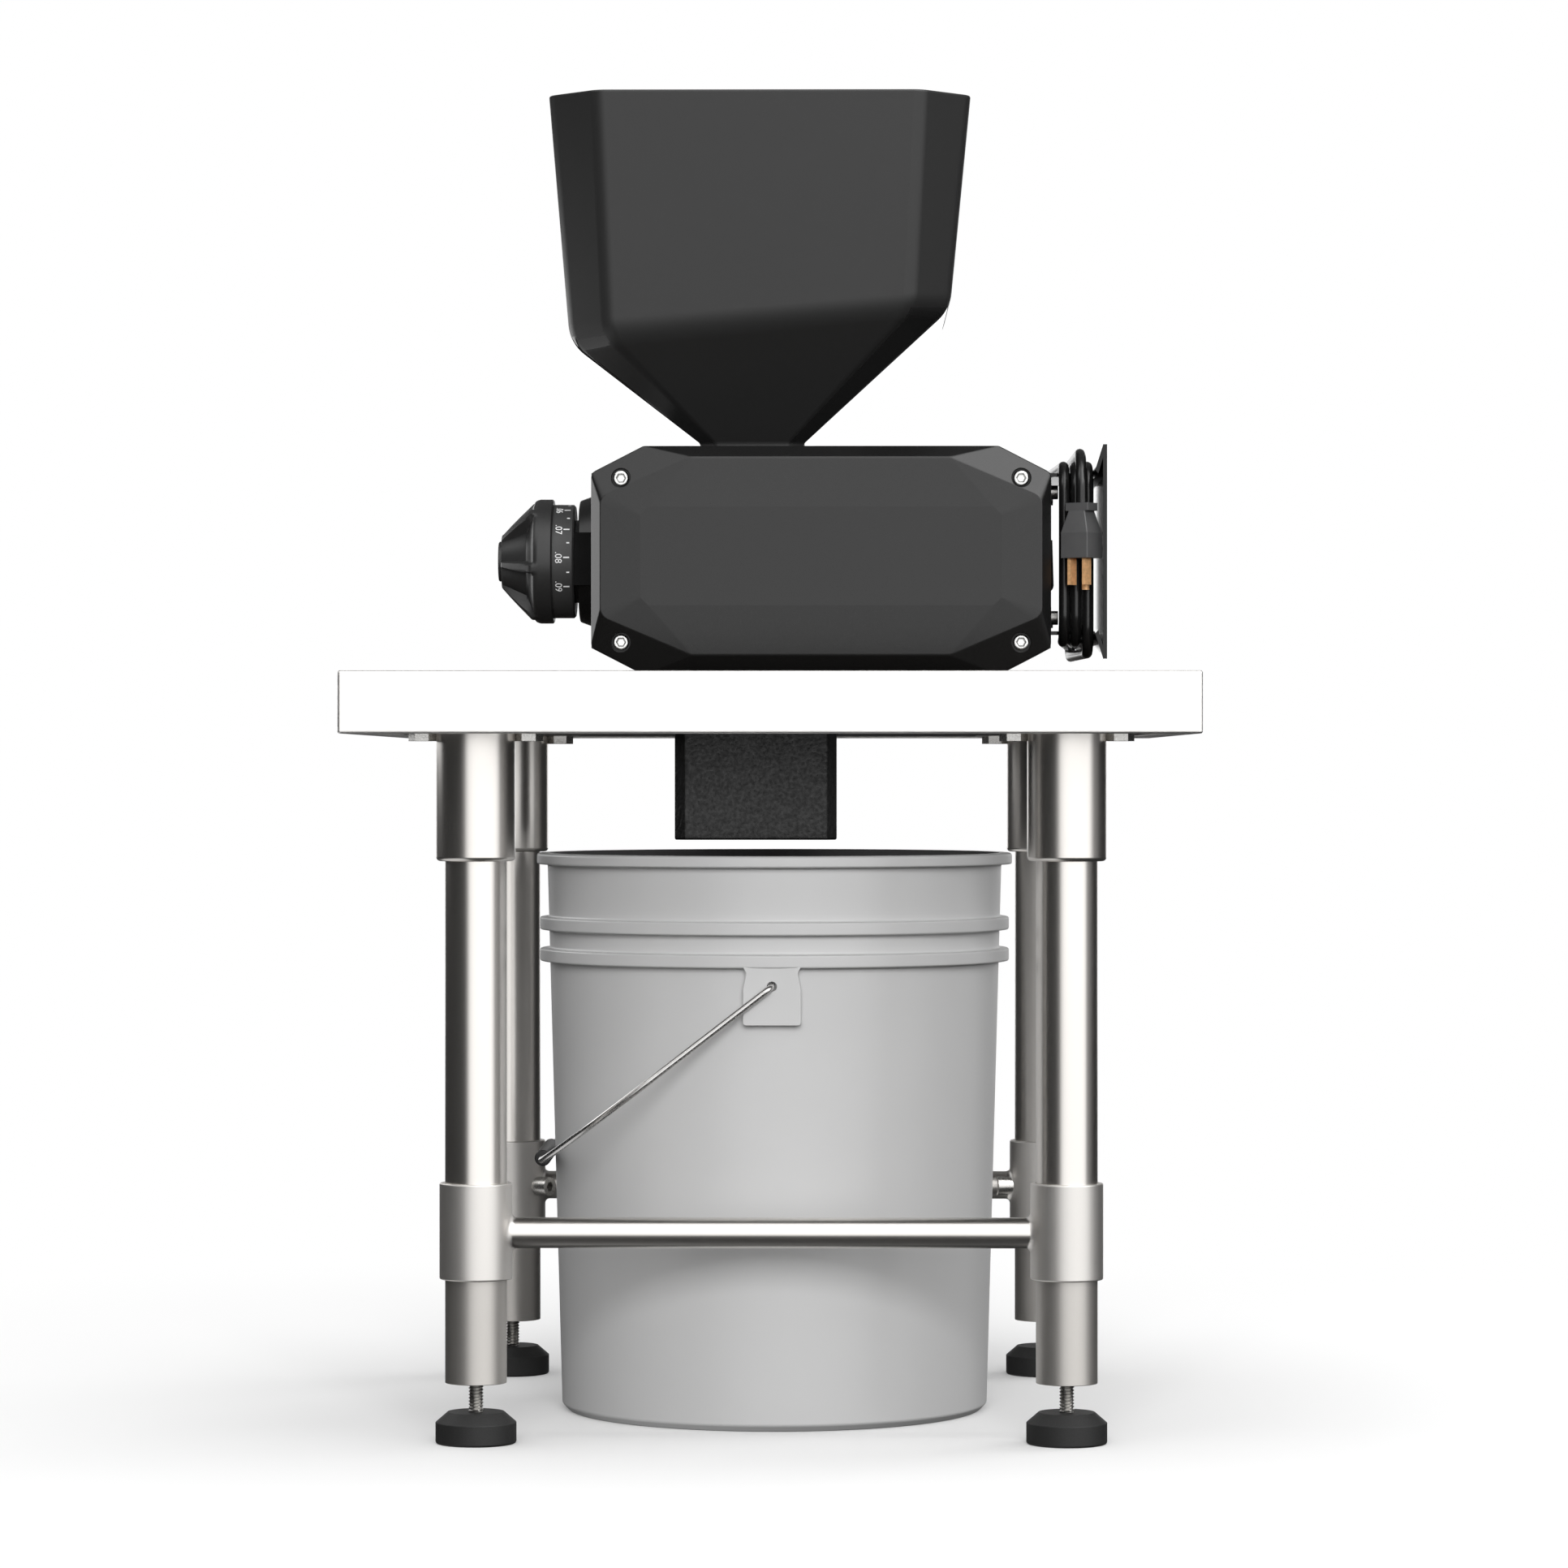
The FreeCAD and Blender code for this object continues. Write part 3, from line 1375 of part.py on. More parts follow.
def make_cord():
    edges = cord_route()
    report_cord(edges)
    start = edges[0].valueAt(edges[0].FirstParameter)
    section = Part.Wire(Part.makeCircle(float(s.cord_diameter) / 2, start, Vector(0, 0, 1)))
    cord = Part.Wire(edges).makePipeShell([section], True, False)
    keep(solid("PowerCord", cord), "power_cord")


def make_plug():
    x = s.mill_right + s.plug_x
    body = new_body("PlugBody", x, s.plug_y, plug_top)
    body.Placement = Placement(Vector(), Rotation(Vector(0, 0, 1), float(s.plug_turn)))
    bind(body, "Placement.Rotation.Angle", s.plug_turn)
    half_x = s.plug_width / 2
    half_y = s.plug_depth / 2
    neck = s.plug_neck / 2
    shoulder = -s.plug_collar - s.plug_taper
    foot = shoulder - s.plug_block
    pad(body, rectangle(body, "XY_Plane", -half_x, half_x, -half_y, half_y, foot), s.plug_block)
    loft(body, rectangle(body, "XY_Plane", -half_x, half_x, -half_y, half_y, shoulder),
         rectangle(body, "XY_Plane", -neck, neck, -neck, neck, -s.plug_collar))
    collar = s.plug_collar_width / 2
    pad(body, rectangle(body, "XY_Plane", -collar, collar, -neck, neck, -s.plug_collar), s.plug_collar)
    nub = block("PlugNub", wrap_inner - s.run_gap - x - neck / 2, s.plug_nub, s.plug_nub, x + neck / 2,
                s.plug_y - s.plug_nub / 2, plug_top - s.plug_collar / 2 - s.plug_nub / 2)
    keep(fuse("Plug", body, nub), "plug")


def make_blades():
    """Two flat blades and a longer round earth pin under the plug."""
    x = s.mill_right + s.plug_x
    foot = plug_top - s.plug_collar - s.plug_taper - s.plug_block
    turn = Rotation(Vector(0, 0, 1), float(s.plug_turn))
    contacts = []
    for side in (-1, 1):
        centre = turn.multVec(Vector(side * float(s.blade_pitch) / 2 - float(s.blade_thick) / 2,
                                     -float(s.blade_width) + 1, 0))
        blade = block("Blade", s.blade_thick, s.blade_width, s.blade_length, 0, 0, 0)
        blade.Placement = Placement(Vector(), turn)
        place(blade, x + centre.x, s.plug_y + centre.y, foot - s.blade_length)
        contacts.append(blade)
    centre = turn.multVec(Vector(0, float(s.pin_offset), 0))
    contacts.append(cylinder("EarthPin", s.pin_diameter / 2, s.pin_length, x + centre.x, s.plug_y + centre.y,
                             foot - s.pin_length))
    keep(group("PlugBlades", *contacts), "plug_blades")


# Rocker switch on the back cover

def make_switch():
    body = new_body("Switch", s.switch_x, 0, axis_height)
    half_x = s.switch_width / 2
    half_z = s.switch_height / 2
    core_x = half_x - s.switch_frame
    core_z = half_z - s.switch_frame
    face = cover_back + s.switch_stand
    pad(body, rectangle(body, "XZ_Plane", -half_x, half_x, -half_z, half_z, -face), s.switch_stand)
    pad(body, rectangle(body, "XZ_Plane", -core_x, core_x, -core_z, core_z, -cover_back), s.switch_deep)
    open_x = core_x - s.switch_wall
    open_z = core_z - s.switch_wall
    pocket(body, rectangle(body, "XZ_Plane", -open_x, open_x, -open_z, open_z, -face),
           s.switch_deep + s.switch_stand - s.switch_wall, back=True)
    pivot = [(cover_back - s.rocker_pivot, 0, s.rocker_pin / 2 + s.slip_gap)]
    pocket(body, circles(body, "YZ_Plane", pivot, -core_x), 2 * core_x, back=True)
    keep(body, "switch_frame")


def make_rocker():
    open_x = s.switch_width / 2 - s.switch_frame - s.switch_wall
    open_z = s.switch_height / 2 - s.switch_frame - s.switch_wall
    half_x = open_x - s.rocker_room
    half_z = open_z - 2 * s.rocker_room
    body = new_body("Rocker", s.switch_x, cover_back - s.rocker_pivot, axis_height)
    body.Placement = Placement(Vector(), Rotation(Vector(1, 0, 0), float(s.rocker_tilt)))
    bind(body, "Placement.Rotation.Angle", s.rocker_tilt)
    pad(body, outline(body, "YZ_Plane", [
        (-s.rocker_body, -half_z / 2),
        (0, -half_z),
        (s.rocker_rise, -half_z),
        (s.rocker_rise - s.rocker_dish, 0),
        (s.rocker_rise, half_z),
        (0, half_z),
        (-s.rocker_body, half_z / 2),
    ], -half_x), 2 * half_x)
    pin_end = open_x + s.rocker_pin_reach
    pad(body, circles(body, "YZ_Plane", [(0, 0, s.rocker_pin / 2)], -pin_end), 2 * pin_end)
    keep(body, "switch_rocker")


# Catch bucket and its bail

def bucket_radius(height):
    """Outside radius of the tapered wall at a height."""
    share = (height - s.bucket_edge) / (s.bucket_height - s.bucket_edge)
    return s.bucket_base / 2 + (s.bucket_mouth - s.bucket_base) / 2 * share


def make_bucket():
    body = new_body("Bucket")
    rim_low = s.bucket_height - s.rim_height
    corners_out = [(0, 0), (s.bucket_base / 2 - s.bucket_edge, 0), (bucket_radius(s.bucket_edge), s.bucket_edge)]
    for low in (s.lower_rib, s.upper_rib):
        high = low + s.rib_height
        corners_out += [(bucket_radius(low), low), (s.rib_diameter / 2, low),
                        (s.rib_diameter / 2, high), (bucket_radius(high), high)]
    corners_out += [(bucket_radius(rim_low), rim_low), (s.rim_diameter / 2, rim_low),
                    (s.rim_diameter / 2, s.bucket_height), (0, s.bucket_height)]
    revolve(body, outline(body, "XZ_Plane", corners_out), "V_Axis")
    half = s.ear_width / 2
    ear_low = s.lower_rib - s.ear_drop
    neck = half - s.ear_neck
    shoulder = s.lower_rib - s.ear_shoulder
    pad(body, outline(body, "XZ_Plane", [
        (-half, ear_low),
        (half, ear_low),
        (half, shoulder),
        (neck, s.lower_rib),
        (-neck, s.lower_rib),
        (-half, shoulder),
    ], -s.ear_face), 2 * s.ear_face)
    inside_low = s.bucket_foot + s.bucket_floor
    inside = outline(body, "XZ_Plane", [
        (0, inside_low),
        (bucket_radius(inside_low) - s.bucket_wall, inside_low),
        (bucket_radius(s.bucket_height) - s.bucket_wall, s.bucket_height),
        (0, s.bucket_height),
    ])
    revolve(body, inside, "V_Axis", "PartDesign::Groove")
    pocket(body, circles(body, "XY_Plane", [(0, 0, s.bucket_base / 2 - 3 * s.bucket_edge)]), s.bucket_foot,
           back=True)
    pocket(body, circles(body, "XZ_Plane", [(0, s.bail_height, s.ear_hole / 2)], -s.ear_face), 2 * s.ear_face,
           back=True)
    keep(body, "bucket")


def bail_placement():
    return Placement(Vector(0, 0, float(s.bail_height)), Rotation(Vector(0, 1, 0), -float(s.bail_drop)))


def make_bail():
    """Wire hooked through both ears and bent round to the grip, made flat and then swung down."""
    offset = float(s.bail_offset)
    reach = float(s.bail_reach)
    corner = float(s.bail_corner)
    hook = float(s.bail_hook_radius)
    end = float(s.ear_face) - float(s.bail_hook_inside)
    half = offset - corner
    diagonal = math.sqrt(0.5)

    def along(side):
        start = Vector(0, side * end, 0)
        hook_low = Vector(0, side * (offset - hook), 0)
        hook_high = Vector(-hook, side * offset, 0)
        hook_middle = Vector(-hook * (1 - diagonal), side * (offset - hook * (1 - diagonal)), 0)
        bend_low = Vector(-(reach - corner), side * offset, 0)
        bend_high = Vector(-reach, side * half, 0)
        bend_middle = Vector(-(reach - corner * (1 - diagonal)), side * (half + corner * diagonal), 0)
        return [
            Part.LineSegment(start, hook_low).toShape(),
            Part.Arc(hook_low, hook_middle, hook_high).toShape(),
            Part.LineSegment(hook_high, bend_low).toShape(),
            Part.Arc(bend_low, bend_middle, bend_high).toShape(),
        ]

    span = Part.LineSegment(Vector(-reach, -half, 0), Vector(-reach, half, 0)).toShape()
    edges = along(-1) + [span] + list(reversed(along(1)))
    path = Part.Wire(Part.__sortEdges__(edges))
    section = Part.Wire(Part.makeCircle(float(s.bail_wire) / 2, Vector(0, -end, 0), Vector(0, 1, 0)))
    wire = solid("BailWire", path.makePipeShell([section], True, False))
    wire.Placement = bail_placement()
    keep(wire, "bail_wire")


def make_grip():
    body = new_body("Grip")
    body.Placement = bail_placement()
    bind(body, "Placement.Base.z", s.bail_height)
    half = s.grip_length / 2
    profile = rectangle(body, "XY_Plane", s.bail_wire / 2 + s.slip_gap - s.bail_reach,
                        s.grip_diameter / 2 - s.bail_reach, -half, half)
    axis = new_sketch(body, "XY_Plane")
    axis.addGeometry(Part.LineSegment(Vector(-float(s.bail_reach), -10, 0), Vector(-float(s.bail_reach), 10, 0)))
    dimension(axis, "DistanceX", -1, 1, 0, 1, size=-s.bail_reach)
    dimension(axis, "DistanceX", -1, 1, 0, 2, size=-s.bail_reach)
    grip = revolve(body, profile, "V_Axis")
    grip.ReferenceAxis = (axis, ["Edge1"])
    keep(body, "bail_grip")


def make_mill():
    make_casing()
    make_front_cover()
    make_rear_cover()
    make_cover_screws()
    make_mill_bolts()
    make_chute()
    make_end_plate("front", -s.plate_inside)
    make_end_plate("rear", plate_outside)
    make_bearings("drive_bearings", s.drive_bearing / 2, s.drive_shaft, s.drive_x)
    make_bearings("idle_bearings", s.idle_bearing / 2, s.idle_shaft, idle_x)
    make_roller("drive_roller", s.drive_x, s.drive_shaft, -plate_outside, gear_high + 2)
    make_roller("idle_roller", idle_x, s.idle_shaft, -plate_outside, plate_outside)
    make_yoke()
    make_gears()
    make_motor()
    make_knob()
    make_dial_ring()
    make_spindle()
    make_knob_flange()
    make_pointer()
    make_hopper()
    make_cord_wrap()
    make_wrap_screws()
    make_gland()
    make_cord()
    make_plug()
    make_blades()
    make_switch()
    make_rocker()


make_mill()
make_bucket()
make_bail()
make_grip()


# Checks and files

def finished():
    doc.recompute()
    for item in doc.Objects:
        faults = [flag for flag in item.State if flag in ("Invalid", "Error")]
        if faults:
            raise RuntimeError(f"{item.Name} ({item.Label}) failed: {item.State}")
    for item in pieces:
        if item.Shape.isNull() or not item.Shape.isValid() or not item.Shape.Solids:
            raise RuntimeError(f"{item.Label} has no valid solid")


finished()
os.makedirs("parts", exist_ok=True)
for piece in pieces:
    piece.Shape.exportStep(f"parts/{piece.Label}.step")
print(len(pieces), "sub-parts written")
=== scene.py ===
import json
import math

import bmesh
import bpy
from mathutils import Matrix, Vector


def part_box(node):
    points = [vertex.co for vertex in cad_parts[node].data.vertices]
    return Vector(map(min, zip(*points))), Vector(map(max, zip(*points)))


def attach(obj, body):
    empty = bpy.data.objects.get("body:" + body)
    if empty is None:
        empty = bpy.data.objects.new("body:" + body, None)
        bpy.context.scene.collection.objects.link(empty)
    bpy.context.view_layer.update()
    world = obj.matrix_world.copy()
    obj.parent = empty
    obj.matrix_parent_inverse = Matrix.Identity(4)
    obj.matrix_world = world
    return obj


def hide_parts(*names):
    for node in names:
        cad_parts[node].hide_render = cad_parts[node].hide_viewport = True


# Grain mill on a stand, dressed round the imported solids. Metres, +Z up, operator at -Y.

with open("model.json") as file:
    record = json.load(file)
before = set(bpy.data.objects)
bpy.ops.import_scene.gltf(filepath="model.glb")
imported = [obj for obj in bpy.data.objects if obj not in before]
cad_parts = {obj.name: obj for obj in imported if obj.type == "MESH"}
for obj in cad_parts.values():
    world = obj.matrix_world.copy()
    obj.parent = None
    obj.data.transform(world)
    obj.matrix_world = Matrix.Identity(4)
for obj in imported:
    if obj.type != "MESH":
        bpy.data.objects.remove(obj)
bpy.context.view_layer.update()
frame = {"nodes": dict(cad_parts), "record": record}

MM = 0.001
CORNERS = ("front_left", "front_right", "rear_left", "rear_right")


class Box:
    """Where a solid lies, in millimetres: its lowest and highest corner, middle and size."""

    def __init__(self, node):
        low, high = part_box(node)
        self.low = low / MM
        self.high = high / MM
        self.middle = (self.low + self.high) / 2
        self.size = self.high - self.low


# Mesh helpers. A form is its points, in millimetres, and its faces.

STRAIGHT = math.radians(89.9)
MOST_TRIM = 0.49
MERGE_WITHIN = 1e-7
BEVEL_SEGMENTS = 3


def slerp(first, last, share):
    """Direction between two equally long ones."""
    sweep = first.angle(last)
    ahead = math.sin(share * sweep)
    behind = math.sin((1 - share) * sweep)
    return (first * behind + last * ahead) / math.sin(sweep)


def rounded(corners, radii, steps=4, closed=True):
    """Line through corner points with an arc at each corner that has a radius."""
    points = [Vector(corner) for corner in corners]
    if not isinstance(radii, (list, tuple)):
        radii = [radii] * len(points)
    line = []
    for index, (corner, radius) in enumerate(zip(points, radii)):
        ends = not closed and index in (0, len(points) - 1)
        if ends or radius <= 0:
            line.append(corner)
            continue
        back = points[index - 1] - corner
        ahead = points[(index + 1) % len(points)] - corner
        half = back.angle(ahead) / 2
        if half > STRAIGHT:
            line.extend([corner.copy() for step in range(steps + 1)])
            continue
        trim = min(radius / math.tan(half), MOST_TRIM * back.length, MOST_TRIM * ahead.length)
        radius = trim * math.tan(half)
        inward = (back.normalized() + ahead.normalized()).normalized()
        centre = corner + inward * (radius / math.sin(half))
        start = corner + back.normalized() * trim - centre
        end = corner + ahead.normalized() * trim - centre
        line.extend([centre + slerp(start, end, step / steps) for step in range(steps + 1)])
    return line


def loft(rings, around=False):
    """Skin over rings of points, closed round from last to first or capped at both ends."""
    count = len(rings[0])
    points = [Vector(point) for ring in rings for point in ring]
    faces = []
    for index in range(len(rings) if around else len(rings) - 1):
        low = index * count
        high = (index + 1) % len(rings) * count
        for side in range(count):
            after = (side + 1) % count
            faces.append((low + side, low + after, high + after, high + side))
    if not around:
        faces.append(tuple(range(count)))
        faces.append(tuple(range(len(points) - count, len(points))))
    return points, faces


def turns(count):
    """Angles of equal steps round a full turn."""
    return [2 * math.pi * step / count for step in range(count)]


def circle(radius, height, steps):
    return [Vector((radius * math.cos(turn), radius * math.sin(turn), height)) for turn in turns(steps)]


def lathe(corners, radii=0.0, arc=4, steps=96):
    """Form turned about Z from a closed section of (radius, height) corners, each with its rounding."""
    section = rounded([(radius, 0, height) for radius, height in corners], radii, arc)
    return loft([circle(max(point.x, 0.0), point.z, steps) for point in section], around=True)


def moved(form, matrix):
    points, faces = form
    return [matrix @ point for point in points], faces


def tube(path, radius, steps=20):
    """Round bar along a line of points."""
    rings = []
    side = None
    for index, point in enumerate(path):
        along = (path[min(index + 1, len(path) - 1)] - path[max(index - 1, 0)]).normalized()
        side = side or along.orthogonal()
        side = (side - along * side.dot(along)).normalized()
        other = along.cross(side)
        ways = [side * math.cos(turn) + other * math.sin(turn) for turn in turns(steps)]
        rings.append([point + way * radius for way in ways])
    return loft(rings)


def slab(outline, low, high):
    """Flat outline in XY carried from one height to another."""
    return loft([[Vector((point[0], point[1], level)) for point in outline] for level in (low, high)])


def rectangle(left, right, front, back):
    return [(left, front), (right, front), (right, back), (left, back)]


def at(x, y, z):
    return Matrix.Translation((x, y, z))


ALONG_X = Matrix.Rotation(math.pi / 2, 4, "Y")
ALONG_MINUS_Y = Matrix.Rotation(math.pi / 2, 4, "X")
ALONG_PLUS_Y = Matrix.Rotation(-math.pi / 2, 4, "X")


def finish_mesh(obj, crease):
    """Smooth shading with sharp edges past an angle in degrees."""
    obj.data.shade_smooth()
    obj.data.set_sharp_from_angle(angle=math.radians(crease))


def mesh_object(name, forms):
    bm = bmesh.new()
    for points, faces in forms:
        made = [bm.verts.new(point * MM) for point in points]
        for face in faces:
            bm.faces.new([made[index] for index in face])
        bmesh.ops.remove_doubles(bm, verts=made, dist=MERGE_WITHIN)
    bmesh.ops.recalc_face_normals(bm, faces=bm.faces)
    mesh = bpy.data.meshes.new(name)
    bm.to_mesh(mesh)
    bm.free()
    obj = bpy.data.objects.new(name, mesh)
    bpy.context.scene.collection.objects.link(obj)
    return obj


def carve(obj, forms):
    """Takes closed forms out of an object."""
    cutter = mesh_object("cutter", forms)
    step = obj.modifiers.new("carve", "BOOLEAN")
    step.object = cutter
    step.solver = "EXACT"
    plain = obj.data
    state = bpy.context.evaluated_depsgraph_get()
    obj.data = bpy.data.meshes.new_from_object(obj.evaluated_get(state))
    obj.modifiers.remove(step)
    bpy.data.objects.remove(cutter)
    bpy.data.meshes.remove(plain)


def piece(name, body, slot, forms, nodes=(), cuts=(), bevel=0.0, crease=32):
    """Object made of closed forms that rides on a body, and stands for the CAD nodes named."""
    obj = mesh_object(name, forms)
    if cuts:
        carve(obj, cuts)
    finish_mesh(obj, crease)
    if bevel:
        edges = obj.modifiers.new("edges", "BEVEL")
        edges.width = bevel * MM
        edges.segments = BEVEL_SEGMENTS
        edges.limit_method = "ANGLE"
        edges.harden_normals = True
    level = obj.modifiers.new("level", "WEIGHTED_NORMAL")
    level.keep_sharp = True
    obj.data.materials.append(LOOKS[slot])
    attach(obj, body)
    if nodes:
        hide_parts(*nodes)
    return obj


# Materials

NOISE_LOW = 0.3
NOISE_HIGH = 0.7
DRIFT_DETAIL = 4.0
FINE_DETAIL = 2.0
RELIEF_DEPTH = 0.0005
EDGE_SAMPLES = 4

# Colour sockets of the mix node, by place, as their names repeat.

MIX_FIRST = 6
MIX_SECOND = 7
MIX_RESULT = 2


def link(tree, source, target):
    tree.links.new(source, target)


def add(tree, kind, **values):
    node = tree.nodes.new(kind)
    for name, value in values.items():
        if hasattr(node, name):
            setattr(node, name, value)
        else:
            node.inputs[name].default_value = value
    return node


def math_node(tree, operation, first, second=0.0):
    node = add(tree, "ShaderNodeMath", operation=operation)
    for socket, value in zip(node.inputs, (first, second)):
        if isinstance(value, (int, float)):
            socket.default_value = value
        else:
            link(tree, value, socket)
    return node.outputs[0]


def grain(tree, scale, stretch, detail):
    """Noise over the object's own space, in waves per metre."""
    place = add(tree, "ShaderNodeTexCoord")
    fit = add(tree, "ShaderNodeMapping")
    fit.inputs["Scale"].default_value = stretch
    noise = add(tree, "ShaderNodeTexNoise", Scale=scale, Detail=detail)
    link(tree, place.outputs["Object"], fit.inputs["Vector"])
    link(tree, fit.outputs["Vector"], noise.inputs["Vector"])
    return noise.outputs["Fac"]


def spread(tree, value, low, high):
    """Brings a noise value into a range."""
    fit = add(tree, "ShaderNodeMapRange")
    fit.inputs["From Min"].default_value = NOISE_LOW
    fit.inputs["From Max"].default_value = NOISE_HIGH
    fit.inputs["To Min"].default_value = low
    fit.inputs["To Max"].default_value = high
    link(tree, value, fit.inputs["Value"])
    return fit.outputs["Result"]


def look(name, colour, rough, metal=0.0, tone=0.06, tone_scale=25.0, grain_scale=900.0, stretch=(1, 1, 1),
         bump=0.02, rough_spread=0.06, edge=0.0, specular=0.5):
    """Material with a drifting tone, uneven gloss and a fine surface grain."""
    made = bpy.data.materials.new(name)
    made.use_nodes = True
    tree = made.node_tree
    shader = tree.nodes["Principled BSDF"]
    shader.inputs["Metallic"].default_value = metal
    shader.inputs["Specular IOR Level"].default_value = specular
    drift = grain(tree, tone_scale, stretch, DRIFT_DETAIL)
    fine = grain(tree, grain_scale, stretch, FINE_DETAIL)
    shade = spread(tree, drift, 1 - tone, 1 + tone)
    tint = add(tree, "ShaderNodeMix", data_type="RGBA", blend_type="MULTIPLY")
    tint.inputs["Factor"].default_value = 1.0
    tint.inputs[MIX_FIRST].default_value = (*colour, 1)
    link(tree, shade, tint.inputs[MIX_SECOND])
    link(tree, tint.outputs[MIX_RESULT], shader.inputs["Base Color"])
    gloss = spread(tree, fine, rough - rough_spread, rough + rough_spread)
    link(tree, gloss, shader.inputs["Roughness"])
    relief = add(tree, "ShaderNodeBump", Strength=bump, Distance=RELIEF_DEPTH)
    link(tree, fine, relief.inputs["Height"])
    if edge:
        soft = add(tree, "ShaderNodeBevel", samples=EDGE_SAMPLES, Radius=edge)
        link(tree, soft.outputs["Normal"], relief.inputs["Normal"])
    link(tree, relief.outputs["Normal"], shader.inputs["Normal"])
    return made


def grey(level):
    return level, level, level


DRAWN_STEEL = dict(metal=1.0, tone=0.02, tone_scale=15.0, grain_scale=1300.0, stretch=(1, 1, 0.5))
FINISHES = {
    "stainless_sheet": dict(colour=(0.80, 0.785, 0.765), rough=0.34, metal=1.0, tone=0.03, tone_scale=12.0,
                            grain_scale=1500.0, stretch=(0.06, 1, 1), bump=0.05, rough_spread=0.05,
                            edge=0.0012),
    # Core board in near black, so that gloss under the worktop shows it dark: painted shade
    "board": dict(colour=(0.06, 0.05, 0.042), rough=0.6, tone=0.25, tone_scale=18.0, grain_scale=500.0,
                  stretch=(0.1, 1, 1), bump=0.15),
    "stainless_tube": dict(colour=(0.72, 0.695, 0.665), rough=0.28, bump=0.001, rough_spread=0.005,
                           **DRAWN_STEEL),
    "wrap_gloss": dict(colour=grey(0.004), rough=0.08, tone=0.1, tone_scale=12.0, grain_scale=1500.0,
                       bump=0.0, rough_spread=0.02, specular=0.3),
    "wrap_satin": dict(colour=(0.03, 0.03, 0.031), rough=0.4, tone=0.1, tone_scale=18.0, grain_scale=1500.0,
                       bump=0.08),
    "stainless_satin": dict(colour=(0.72, 0.70, 0.675), rough=0.45, bump=0.012, rough_spread=0.03,
                            **DRAWN_STEEL),
    # Lower leg lengths: the same steel, rougher, and painted darker as shade
    "stainless_painted_shade": dict(colour=(0.55, 0.53, 0.505), rough=0.45, bump=0.012, rough_spread=0.03,
                           **DRAWN_STEEL),
    "pointer_matte": dict(colour=grey(0.008), rough=0.8, tone=0.1, tone_scale=60.0, grain_scale=1800.0,
                          bump=0.1, specular=0.1),
    # Bucket's inner wall: the same plastic as outside, painted a darker grey as shade
    "bucket_inside_painted_shade": dict(colour=grey(0.13), rough=0.6, tone=0.1, tone_scale=40.0),
    "bolt_steel": dict(colour=(0.62, 0.61, 0.59), rough=0.3, metal=1.0, tone_scale=80.0, grain_scale=1500.0,
                       bump=0.05, edge=0.0006),
    "stud_steel": dict(colour=(0.50, 0.49, 0.47), rough=0.34, metal=1.0, tone_scale=80.0, grain_scale=1500.0),
    "bright_screw": dict(colour=(0.68, 0.68, 0.67), rough=0.22, metal=1.0, tone=0.03, tone_scale=120.0,
                         grain_scale=2000.0, bump=0.03, edge=0.0004),
    "foot_rubber": dict(colour=grey(0.01), rough=0.62, tone=0.12, tone_scale=60.0, grain_scale=1600.0,
                        bump=0.08),
    "insert_plastic": dict(colour=grey(0.03), rough=0.5),
    "black_shell": dict(colour=grey(0.005), rough=0.32, tone=0.03, tone_scale=20.0, grain_scale=2600.0,
                        bump=0.05, rough_spread=0.05, edge=0.0006),
    "hopper_plastic": dict(colour=grey(0.018), rough=0.42, tone=0.03, tone_scale=14.0, grain_scale=2200.0,
                           bump=0.04),
    "hopper_gloss": dict(colour=grey(0.018), rough=0.08, tone=0.03, tone_scale=14.0, grain_scale=2200.0,
                         bump=0.0, rough_spread=0.02),
    "chute_plastic": dict(colour=grey(0.004), rough=0.38, tone=0.25, tone_scale=120.0, grain_scale=420.0,
                          bump=0.5, rough_spread=0.1, edge=0.0015),
    "knob_plastic": dict(colour=grey(0.022), rough=0.36, tone=0.08, tone_scale=60.0, grain_scale=1800.0,
                         bump=0.06),
    "dial_plastic": dict(colour=grey(0.042), rough=0.45, tone=0.05, tone_scale=60.0, grain_scale=2200.0,
                         bump=0.06),
    "dial_paint": dict(colour=grey(0.85), rough=0.5, tone=0.05, tone_scale=200.0, grain_scale=2200.0),
    "machined_steel": dict(colour=grey(0.52), rough=0.32, metal=1.0, tone_scale=40.0, stretch=(1, 0.1, 1),
                           bump=0.06),
    "plate_aluminium": dict(colour=grey(0.72), rough=0.38, metal=1.0, tone=0.04, tone_scale=30.0),
    "motor_paint": dict(colour=(0.08, 0.08, 0.09), rough=0.45),
    "cord_rubber": dict(colour=grey(0.008), rough=0.22, tone=0.1, tone_scale=120.0, grain_scale=2400.0),
    "plug_plastic": dict(colour=(0.09, 0.09, 0.091), rough=0.4, tone=0.05, tone_scale=120.0,
                         grain_scale=2400.0, bump=0.04),
    "blade_brass": dict(colour=(0.90, 0.52, 0.25), rough=0.42, metal=0.3, tone=0.16, tone_scale=500.0,
                        grain_scale=2600.0, bump=0.1),
    "switch_plastic": dict(colour=grey(0.02), rough=0.3, edge=0.0006),
    "bucket_plastic": dict(colour=grey(0.57), rough=0.42, tone=0.02, tone_scale=9.0, grain_scale=1300.0,
                           bump=0.03, specular=1.0),
    "bail_steel": dict(colour=(0.62, 0.61, 0.60), rough=0.25, metal=1.0, tone=0.05, tone_scale=90.0,
                       grain_scale=1500.0),
    "grip_plastic": dict(colour=grey(0.01), rough=0.5),
}
LOOKS = {name: look(name, **finish) for name, finish in FINISHES.items()}


def second_look(mesh, slot, chosen):
    """Gives another finish, or a painted shade, to the faces that chosen picks out."""
    mesh.materials.append(LOOKS[slot])
    for face in mesh.polygons:
        if chosen(face):
            face.material_index = 1


OWN_LOOKS = {"cord_wrap": "wrap_gloss", "pointer_block": "pointer_matte"}
WRAP_OUTWARD = 0.9

